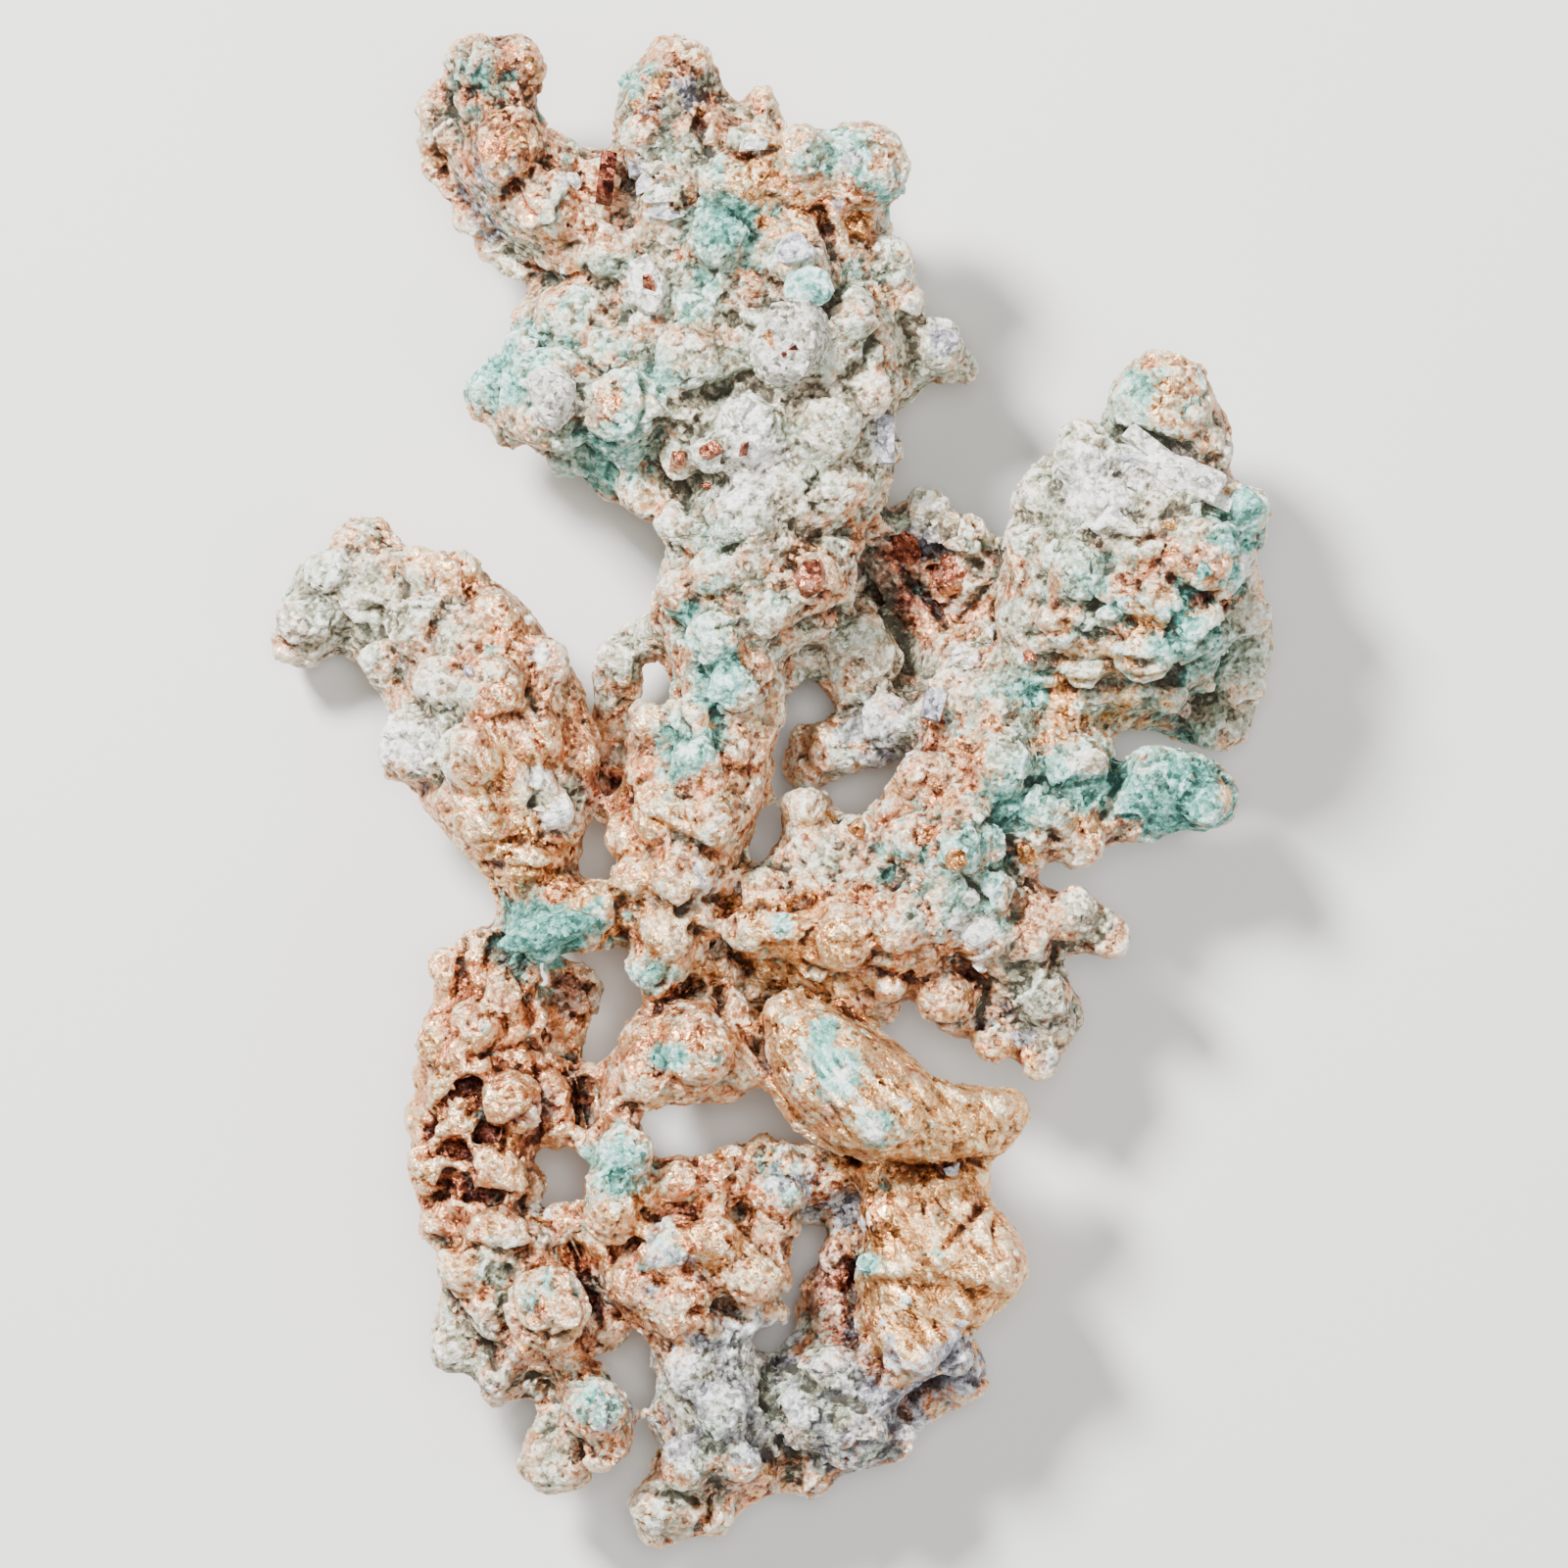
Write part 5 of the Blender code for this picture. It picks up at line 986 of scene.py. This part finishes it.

# %% [markdown]
# ## Crystals
# Single crystals, beads and chips stand out of the crust.  They are set on last, because
# the melting would have rounded them.  Each is a block with uneven corners, or the hull of a few
# points on a ball, which gives flat faces at odd angles.

# %% The crystals and their places
CRYSTALS = [  # limb, finish, x, y, half sizes in x, y, z, turn, lift, corners, darkness
    ("crown", "chalk", 1.9, 36.2, 4.1, 3.8, 1.9, 0, 0.1, 30, 0.8),
    ("crown", "gold", 0.2, 36.5, 1.3, 1.0, 0.8, 25, 2.0, 9, 1.2),
    ("crown", "red", 1.3, 35.5, 0.25, 0.8, 0.5, -60, 1.9, 8, 1.2),
    ("crown", "patina", 2.9, 40.8, 2.2, 1.7, 0.9, 0, 0.4, 26, -0.7),
    ("crown", "chalk", -10.3, 41.3, 1.6, 2.6, 1.0, 15, 0.0, 22, 0.0),
    ("crown", "red", -10.1, 41.2, 0.6, 1.1, 0.5, 15, 0.8, 10, 0.6),
    ("crown", "chalk", -18.0, 31.8, 2.3, 3.1, 1.3, 10, 0.1, 20, 0.5),
    ("crown", "chalk", -20.0, 36.3, 1.1, 1.1, 0.9, 0, 0.0, 14, 0.0),
    ("crown", "stone", -9.0, 46.8, 1.9, 0.55, 0.6, -4, 0.2, 12, 0.3),
    ("crown", "chalk", -9.1, 48.1, 1.8, 0.5, 0.6, 6, 0.2, 12, 0.6),
    ("crown", "stone", -11.4, 50.8, 1.2, 1.0, 0.9, 0, 0.1, 12, 0.3),
    ("crown", "crust", -9.6, 50.9, 1.1, 0.9, 0.9, 30, 0.1, 12, 0.0),
    ("crown", "stone", -10.4, 49.4, 1.2, 0.8, 0.8, 60, 0.1, 12, -0.3),
    ("crown", "red", -13.6, 49.8, 0.75, 2.2, 1.7, -6, 1.0, 8, 1.4),
    ("crown", "gold", 6.6, 46.0, 1.7, 1.6, 1.1, 0, 0.1, 20, 1.1),
    ("crown", "stone", 1.8, 43.8, 1.7, 1.6, 0.9, 0, 0.0, 24, -0.3),
    ("crown", "red", -7.7, 26.9, 1.1, 0.9, 0.9, 20, 0.2, 10, -0.2),
    ("crown", "red", -4.9, 27.4, 1.2, 1.1, 0.8, 0, 0.1, 12, 0.2),
    ("crown", "red", -2.4, 27.6, 0.4, 1.1, 0.7, -15, 0.3, 10, 0.7),
    ("crown", "red", -5.4, 24.7, 0.6, 0.6, 0.5, 0, 0.1, 10, 0.6),
    ("crown", "stone", 9.2, 28.6, 0.8, 2.2, 1.2, 0, -0.2, 8, 0.3),
    ("crown", "chalk", -16.5, 49.6, 1.0, 0.9, 0.7, 0, 0.1, 11, 0.0),
    ("crown", "chalk", -1.6, 52.4, 1.4, 0.9, 0.6, 20, 0.1, 14, 0.0),
    ("crown", "stone", 13.6, 36.8, 1.6, 1.4, 1.0, 0, 0.0, 16, 0.0),
    ("crown", "chalk", -2.4, 31.0, 0.35, 1.1, 0.4, -30, 0.3, 8, 0.2),
    ("crown", "chalk", -3.6, 30.4, 0.3, 1.0, 0.4, 30, 0.3, 8, 0.2),
    ("trunk", "red", 3.2, 17.2, 1.7, 1.7, 1.2, 0, 0.1, 30, 0.0),
    ("trunk", "patina", 0.8, -10.8, 1.1, 1.1, 0.7, 0, -0.4, 16, -0.5),
    ("right_club", "chalk", 33.2, 26.0, 4.8, 1.9, 1.0, -28, 0.6, 24, -0.2),
    ("right_club", "chalk", 30.2, 28.0, 2.4, 0.8, 0.7, -36, 0.5, 8, 0.2),
    ("right_club", "chalk", 35.6, 23.8, 2.0, 0.7, 0.7, -24, 0.3, 8, 0.2),
    ("right_club", "stone", 29.0, 27.2, 1.3, 1.0, 0.8, 10, 0.2, 12, -0.4),
    ("right_club", "patina", 38.2, 23.2, 1.6, 1.7, 1.0, 0, 0.0, 24, 0.0),
    ("right_club", "patina", 34.7, 17.8, 0.8, 0.8, 0.5, 0, 0.2, 14, 0.5),
    ("right_club", "gold", 32.0, 21.5, 0.7, 0.7, 0.6, 0, 0.1, 12, 0.0),
    ("right_club", "red", 20.9, 11.0, 0.8, 0.8, 0.7, 0, 0.1, 10, 0.0),
    ("right_arm", "red", 14.4, 17.8, 2.9, 1.7, 1.0, -20, 0.2, 11, 0.3),
    ("right_arm", "red", 10.6, 20.4, 2.4, 1.5, 1.0, -35, 0.2, 13, 1.2),
    ("right_arm", "crust", 13.4, 21.8, 2.6, 1.3, 1.0, -15, 0.1, 10, 0.8),
    ("right_arm", "stone", 13.0, 7.2, 0.9, 1.5, 0.8, -15, 0.3, 8, 0.2),
    ("right_arm", "crust", 26.0, 2.5, 1.3, 1.2, 0.8, 0, 0.1, 14, 0.0),
    ("right_arm", "chalk", 16.5, -11.5, 1.5, 1.3, 0.8, 20, 0.0, 14, 0.0),
    ("right_arm", "chalk", 15.8, -8.6, 1.0, 0.9, 0.7, 0, 0.1, 12, 0.0),
    ("right_arm", "chalk", 16.9, -14.2, 0.7, 0.6, 0.6, 0, 0.1, 11, 0.0),
    ("right_arm", "gold", 6.8, -3.0, 0.9, 0.9, 0.7, 0, 0.1, 20, 0.4),
    ("right_arm", "gold", 20.5, -5.0, 1.1, 1.0, 0.8, 0, 0.1, 20, 0.6),
    ("right_arm", "gold", 14.8, -5.5, 1.0, 1.0, 0.8, 0, 0.1, 20, 0.6),
    ("right_arm", "gold", 4.5, -2.1, 0.6, 0.9, 0.7, 0, 0.2, 10, 0.4),
    ("left_arm", "chalk", -20.0, 14.0, 0.5, 0.5, 0.5, 0, 0.2, 14, 0.0),
    ("left_arm", "stone", -24.6, 9.6, 0.8, 0.7, 0.6, 0, 0.1, 12, -0.3),
    ("lower_left", "patina", -18.4, -11.3, 4.3, 1.5, 1.3, 16, 0.3, 70, 0.5),
    ("lower_left", "chalk", -19.5, -34.0, 0.7, 0.5, 0.5, 0, 0.2, 11, 0.0),
    ("lower_left", "chalk", -18.4, -34.5, 0.5, 0.5, 0.5, 0, 0.2, 11, 0.0),
    ("lower_right", "gold", 13.3, -32.2, 0.9, 0.9, 0.7, 0, 0.1, 24, 0.0),
    ("lower_right", "stone", 14.3, -30.9, 1.2, 0.7, 0.6, 20, 0.1, 14, 0.3),
    ("lower_right", "patina", 7.6, -38.4, 0.9, 0.9, 0.6, 0, 0.1, 24, -0.5),
    ("lower_right", "chalk", 10.8, -41.3, 0.4, 0.4, 0.3, 0, 0.1, 10, 0.0),
    ("lower_right", "chalk", 9.3, -47.8, 0.5, 0.5, 0.4, 0, 0.1, 10, 0.0),
    ("lower_right", "chalk", 12.1, -46.2, 0.5, 0.5, 0.4, 0, 0.1, 10, 0.0),
    ("lower_right", "stone", 15.2, -43.0, 0.8, 0.6, 0.4, 0, 0.0, 12, -0.4)]
print("crystals:", len(CRYSTALS))

# %% Make the crystals of a limb
BLOCK_CORNERS = 8
BLOCK_REACH = 1.5  # how far a block's corners reach, against a ball
CRYSTAL_TILT = 0.2
ALL, NONE = 2.0, -1.0  # amounts of a finish that no noise breaks up
CRYSTAL_PAINTED_HIGHLIGHT = 0.8  # painted highlight: crystals are as bright as ridges


def crystal_shape(dice, corners):
    """A crystal is the hull of a few points on a ball, or a block with uneven corners if it has
    eight.
    """
    spots = dice.normal(size=(corners, 3))
    is_block = corners == BLOCK_CORNERS
    if is_block:
        block = np.array([(x, y, z) for x in (-1, 1) for y in (-1, 1) for z in (-1, 1)])
        spots = block * dice.uniform(0.75, 1.0, block.shape)
    spots = spots / np.linalg.norm(spots, axis=1, keepdims=True)
    spots = spots * (BLOCK_REACH if is_block else 1.0)
    bm = bmesh.new()
    for spot in spots:
        bm.verts.new(spot)
    bmesh.ops.convex_hull(bm, input=bm.verts)
    bm.verts.index_update()
    return shape_of(bm)


def crystals(limb, tree):
    """Places, facets and finish of the crystals that stand on a limb."""
    dice = np.random.default_rng(len(limb))
    places, facets, finishes = [], [], []
    for owner, finish, x, y, wide, long, high, turn, lift, corners, dark in CRYSTALS:
        if owner != limb:
            continue
        hit = top_of_skin(tree, x, y)
        spots, faces = crystal_shape(dice, corners)
        tilts = dice.uniform(-CRYSTAL_TILT, CRYSTAL_TILT, 2)
        tilt = Euler((*tilts, math.radians(turn))).to_matrix()
        spots = spots * np.array((wide, long, high)) @ np.array(tilt).T
        spots = (spots + (x, y, hit.z / MM + lift)) * MM
        first = len(places)
        places += spots.tolist()
        facets += (faces + first).tolist()
        finishes += [(finish, dark)] * len(spots)
    return places, facets, finishes


def crystal_value(name, finish, dark):
    """What a crystal carries under a name: all of its own finish and none of the others."""
    if name.startswith("broken"):
        return ALL if name == "broken " + finish else NONE
    return {"dim": dark, "hollow": CRYSTAL_PAINTED_HIGHLIGHT}.get(name, 0.0)

# %% One mesh for each limb
KEPT_VALUES = ["broken " + finish[0] for finish in BROKEN] + ["dim", "smooth", "hollow", "valley"]


def limb_skins(mesh):
    """One closed mesh for each limb, with its crystals and the values kept on it."""
    corners, owner = facet_owners(mesh)
    places = place_rows(mesh)
    values = {name: kept_values(mesh, name) for name in KEPT_VALUES}
    tree = BVHTree.FromPolygons(places.tolist(), corners.tolist())
    shares = {}
    for number, limb in enumerate(LIMBS):
        mine = corners[owner == number]
        used, renumbered = np.unique(mine, return_inverse=True)
        renumbered = renumbered.reshape(-1, 4)
        centres, fans = lids(places[used], renumbered)
        spots, facets, finishes = crystals(limb, tree)
        first = len(used) + len(centres)
        facets = [[first + corner for corner in face] for face in facets]
        share = bpy.data.meshes.new(limb + "_skin")
        share.from_pydata(places[used].tolist() + [tuple(c) for c in centres] + spots, [],
                          renumbered.tolist() + fans + facets)
        for name in KEPT_VALUES:
            extra = [0.0] * len(centres)
            extra += [crystal_value(name, finish, dark) for finish, dark in finishes]
            keep_values(share, name, np.concatenate([values[name][used], extra]))
        share.shade_smooth()
        flat = np.ones(len(share.polygons), dtype=bool)
        flat[len(renumbered) + len(fans):] = False
        share.polygons.foreach_set("use_smooth", flat)
        shares[limb] = share
        print(limb, len(share.polygons) + len(renumbered), "triangles")
    return shares


skins = limb_skins(skin)

# %% [markdown]
# ## Colours of the finishes
# Every finish is a short ramp from painted shade, the colour of its hollows, through its own
# colour to painted highlight, the colour of its ridges.  One relief value, made of the large
# and the fine relief, drives all ramps, so every finish gets painted highlight on its ridges
# and painted shade in its hollows.

# %% A ramp of tones
def tone(red, green, blue):
    """A colour as it is seen on a screen, from 0 to 255, made linear for the shader."""
    def linear(part):
        part /= 255
        return part / 12.92 if part < 0.04045 else ((part + 0.055) / 1.055) ** 2.4
    return (linear(red), linear(green), linear(blue), 1.0)


def tones(*colours):
    """A ramp with evenly spaced colours, from painted shade in the hollows to painted highlight on
    the ridges.
    """
    return [(number / (len(colours) - 1), tone(*colour)) for number, colour in enumerate(colours)]

# %% The ramps of the finishes, from painted shade to painted highlight
COPPER_TONES = tones((60, 27, 14), (156, 88, 54), (226, 150, 104), (250, 192, 140), (255, 223, 180))
GOLD_TONES = tones((76, 42, 18), (172, 108, 58), (230, 168, 104), (252, 208, 150), (255, 236, 196))
RED_TONES = tones((44, 14, 8), (104, 48, 32), (166, 94, 68), (218, 150, 118), (248, 208, 182))
CREAM_TONES = tones((64, 56, 40), (118, 108, 86), (174, 166, 142), (224, 218, 200), (253, 251, 245))
CHALK_TONES = tones((84, 78, 66), (158, 152, 138), (214, 212, 202), (244, 243, 238),
                    (255, 255, 253))
SAGE_TONES = tones((54, 54, 40), (104, 108, 88), (148, 160, 138), (198, 212, 195), (240, 248, 238))
STONE_TONES = tones((56, 54, 60), (104, 102, 110), (150, 148, 155), (200, 200, 206),
                    (240, 241, 244))
PATINA_TONES = tones((18, 58, 52), (50, 108, 96), (94, 160, 146), (150, 204, 193), (224, 245, 240))

# %% [markdown]
# ## Shader groups
# The finishes share two effects.  The flecks group makes a field of small cells, each with its own
# shade and tilt.  The relief and painted shade group turns the large relief of the mesh into
# painted shade in the hollows and painted highlight on the ridges, and adds noise too fine for it.

# %% Helpers for shader trees
def new_group(name, inputs, outputs):
    """An empty shader group.  Sockets are (name, kind, default) and (name, kind)."""
    tree = bpy.data.node_groups.new(name, "ShaderNodeTree")
    for title, kind, default in inputs:
        socket = tree.interface.new_socket(title, in_out="INPUT", socket_type=kind)
        if default is not None:
            socket.default_value = default
    for title, kind in outputs:
        tree.interface.new_socket(title, in_out="OUTPUT", socket_type=kind)
    return tree, tree.nodes.new("NodeGroupInput").outputs, tree.nodes.new("NodeGroupOutput").inputs


def place_group(tree, group, **inputs):
    return add_node(tree, "ShaderNodeGroup", {"node_tree": group}, **inputs).outputs


def soft_step(tree, value, low, high):
    """Zero below low, one above high, and smooth between them."""
    return add_node(tree, "ShaderNodeMapRange", {"interpolation_type": "SMOOTHSTEP"}, i0=value,
                    i1=low, i2=high).outputs[0]


def mix_colours(tree, amount, first, second):
    return add_node(tree, "ShaderNodeMix", {"data_type": "RGBA"}, i0=amount, i6=first,
                    i7=second).outputs[2]


def tone_ramp(tree, value, stops):
    node = add_node(tree, "ShaderNodeValToRGB", i0=value)
    ramp = node.color_ramp
    while len(ramp.elements) < len(stops):
        ramp.elements.new(0.5)
    for element, (position, colour) in zip(ramp.elements, stops):
        element.position = position
        element.color = colour
    return node.outputs[0]


FLOAT, VECTOR = "NodeSocketFloat", "NodeSocketVector"

# %% Flecks
def make_flecks():
    tree, given, made = new_group(
        "flecks", [("Place", VECTOR, None), ("Cells Per Metre", FLOAT, 2000.0)],
        [("Height", FLOAT), ("Shade", FLOAT), ("Kind", FLOAT)])
    cell = cells(tree, given["Place"], given["Cells Per Metre"])
    link(tree, tilted_heights(tree, given["Place"], cell), made["Height"])
    shades = add_node(tree, "ShaderNodeSeparateColor", i0=cell["Color"]).outputs
    link(tree, math_node(tree, "SUBTRACT", shades[0], 0.5), made["Shade"])
    link(tree, math_node(tree, "SUBTRACT", shades[1], 0.5), made["Kind"])
    return tree


flecks = make_flecks()
print("group:", flecks.name)

# %% Relief and painted shade
MIDDLE_LEVEL = 0.52  # the level of an even place, between hollows at 0 and ridges at 1
NEAR_SHADE_AND_HIGHLIGHT, WIDE_SHADE_AND_HIGHLIGHT = 0.10, 0.115  # painted shade and highlight: how much narrow and wide hollows and ridges change the level
DIM_SHARE = 0.27  # how much the darker patches, partly painted shade and partly darker tone, lower the level
FINE_BEND = 0.5 * MM  # how far the fine noise bends the flecks


def make_relief_and_painted_shade():
    tree, given, made = new_group(
        "relief and painted shade",
        [("Place", VECTOR, None), ("Hollow", FLOAT, 0.0), ("Valley", FLOAT, 0.0),
         ("Dim", FLOAT, 0.0), ("Fine Per Metre", FLOAT, 2600.0)],
        [("Level", FLOAT), ("Fine", FLOAT), ("Bent", VECTOR)])
    plus, minus, times = arithmetic(tree)
    noise = add_node(tree, "ShaderNodeTexNoise", Vector=given["Place"],
                     Scale=given["Fine Per Metre"], Detail=3.0, Roughness=0.65).outputs
    fine = minus(noise[0], 0.5)
    # painted shade in the hollows and painted highlight on the ridges; the darker patches lower it
    level = plus(times(given["Hollow"], NEAR_SHADE_AND_HIGHLIGHT), times(given["Valley"], WIDE_SHADE_AND_HIGHLIGHT))
    level = minus(plus(level, MIDDLE_LEVEL), times(given["Dim"], DIM_SHARE))
    bent = add_node(tree, "ShaderNodeVectorMath", {"operation": "MULTIPLY_ADD"},
                    i0=noise["Color"], i1=(FINE_BEND,) * 3, i2=given["Place"]).outputs[0]
    link(tree, plus(level, fine), made["Level"])
    link(tree, fine, made["Fine"])
    link(tree, bent, made["Bent"])
    return tree


relief_and_painted_shade = make_relief_and_painted_shade()
print("group:", relief_and_painted_shade.name)

# %% [markdown]
# ## The skin's material
# From below to above: copper, its honey-brown tarnish, its red oxide in the hollows, the
# green salts, grey clay, and the crust of pale grains on top.  Copper, its tarnish and its
# red oxide are metal, and the salts, clay and crust are not.

# %% How the finishes lie on one another
FLAKE_CELLS, GRAIN_CELLS = 1050.0, 2300.0  # flakes and grains to the metre
STREAKED = 0.6  # metal that is smoother than this shows streaks
COPPER_SHADES = (0.4, 0.36)  # how much flakes and grains change the level on copper
CRUST_SHADES = (0.2, 0.5)  # and on what lies on it
RAGGED = 0.7  # how much the fine noise frays the borders
SOFT_BORDERS = {"gold": 0.25, "red": 0.2, "patina": 0.2, "stone": 0.12, "crust": 0.24,
                "dust": 0.6, "sage": 0.3, "chalk": 0.14}
GOLD_KINDS = 0.8  # tarnish takes some flakes before others
RED_SINKS, CRUST_SINKS = -0.14, -0.02  # how much more of them lies in wide hollows
CRUST_COVERS, DUST_COVERS = 0.92, 0.9
METALLIC = 0.85
MATT, SHINE = 0.82, 0.55  # roughness of the crust, and how much smoother bare metal is
FLAKE_BUMP, GRAIN_BUMP, FINE_BUMP = 0.55, 0.95, 0.10 * MM

# %% The material
def make_skin_material():
    material = bpy.data.materials.new("crusted copper")
    material.use_nodes = True
    tree = material.node_tree
    surface = tree.nodes["Principled BSDF"]
    place = tree.nodes.new("ShaderNodeTexCoord").outputs["Object"]
    plus, minus, times = arithmetic(tree)

    def kept(name):
        return add_node(tree, "ShaderNodeAttribute", {"attribute_name": name}).outputs["Fac"]

    valley = kept("valley")
    relief = place_group(tree, relief_and_painted_shade, Place=place, Hollow=kept("hollow"), Valley=valley,
                         Dim=kept("dim"))
    streaked = math_node(tree, "GREATER_THAN", kept("smooth"), STREAKED)
    lie = add_node(tree, "ShaderNodeMix", {"data_type": "VECTOR"}, i0=streaked,
                   i4=relief["Bent"], i5=flake_lie(tree, relief["Bent"])).outputs[1]
    flake = place_group(tree, flecks, Place=lie, Cells_Per_Metre=FLAKE_CELLS)
    grain = place_group(tree, flecks, Place=lie, Cells_Per_Metre=GRAIN_CELLS)

    def shaded_level(flake_share, grain_share):
        shades = plus(times(flake["Shade"], flake_share), times(grain["Shade"], grain_share))
        return math_node(tree, "ADD", relief["Level"], shades, True)

    def cover(name, border=None, more=0.0):
        """How much of a finish is seen at a place, from 0 to 1."""
        amount = plus(plus(kept("broken " + name), times(relief["Fine"], RAGGED)), more)
        soft = SOFT_BORDERS[border or name]
        return soft_step(tree, amount, 0.5 - soft, 0.5 + soft)

    # the levels carry the painted shade and highlight of the relief, with flake and grain tones
    level = shaded_level(*COPPER_SHADES)
    crust_level = shaded_level(*CRUST_SHADES)
    patina, stone, chalk, sage = map(cover, ("patina", "stone", "chalk", "sage"))
    crust = times(cover("crust", more=times(valley, CRUST_SINKS)), CRUST_COVERS)
    dust = times(cover("crust", border="dust"), DUST_COVERS)
    crust = math_node(tree, "MAXIMUM", crust, dust)

    def coat(colour, amount, at, stops):
        return mix_colours(tree, amount, colour, tone_ramp(tree, at, stops))

    colour = tone_ramp(tree, level, COPPER_TONES)
    colour = coat(colour, cover("gold", more=times(flake["Kind"], GOLD_KINDS)), level, GOLD_TONES)
    colour = coat(colour, cover("red", more=times(valley, RED_SINKS)), level, RED_TONES)
    colour = coat(colour, patina, crust_level, PATINA_TONES)
    colour = coat(colour, stone, crust_level, STONE_TONES)
    crust_colour = coat(tone_ramp(tree, crust_level, CREAM_TONES), sage, crust_level, SAGE_TONES)
    colour = mix_colours(tree, crust, colour, crust_colour)
    colour = coat(colour, chalk, crust_level, CHALK_TONES)
    link(tree, colour, surface.inputs["Base Color"])

    metal = math_node(tree, "SUBTRACT", 1.0, math_node(tree, "MAXIMUM", crust, chalk), True)
    for covering in (stone, patina):
        metal = times(metal, math_node(tree, "SUBTRACT", 1.0, covering, True))
    link(tree, times(metal, METALLIC), surface.inputs["Metallic"])
    link(tree, minus(MATT, times(metal, SHINE)), surface.inputs["Roughness"])

    height = plus(times(flake["Height"], FLAKE_BUMP), times(grain["Height"], GRAIN_BUMP))
    height = plus(height, times(relief["Fine"], FINE_BUMP))
    bump = add_node(tree, "ShaderNodeBump", Strength=1.0, Distance=1.0, Height=height)
    link(tree, bump.outputs[0], surface.inputs["Normal"])
    return material


skin_material = make_skin_material()
for limb, share in skins.items():
    share.materials.append(skin_material)
    piece = add_object(limb + "_skin", share)
    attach(piece, "root")
    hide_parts(limb)
print("pieces:", len(skins))
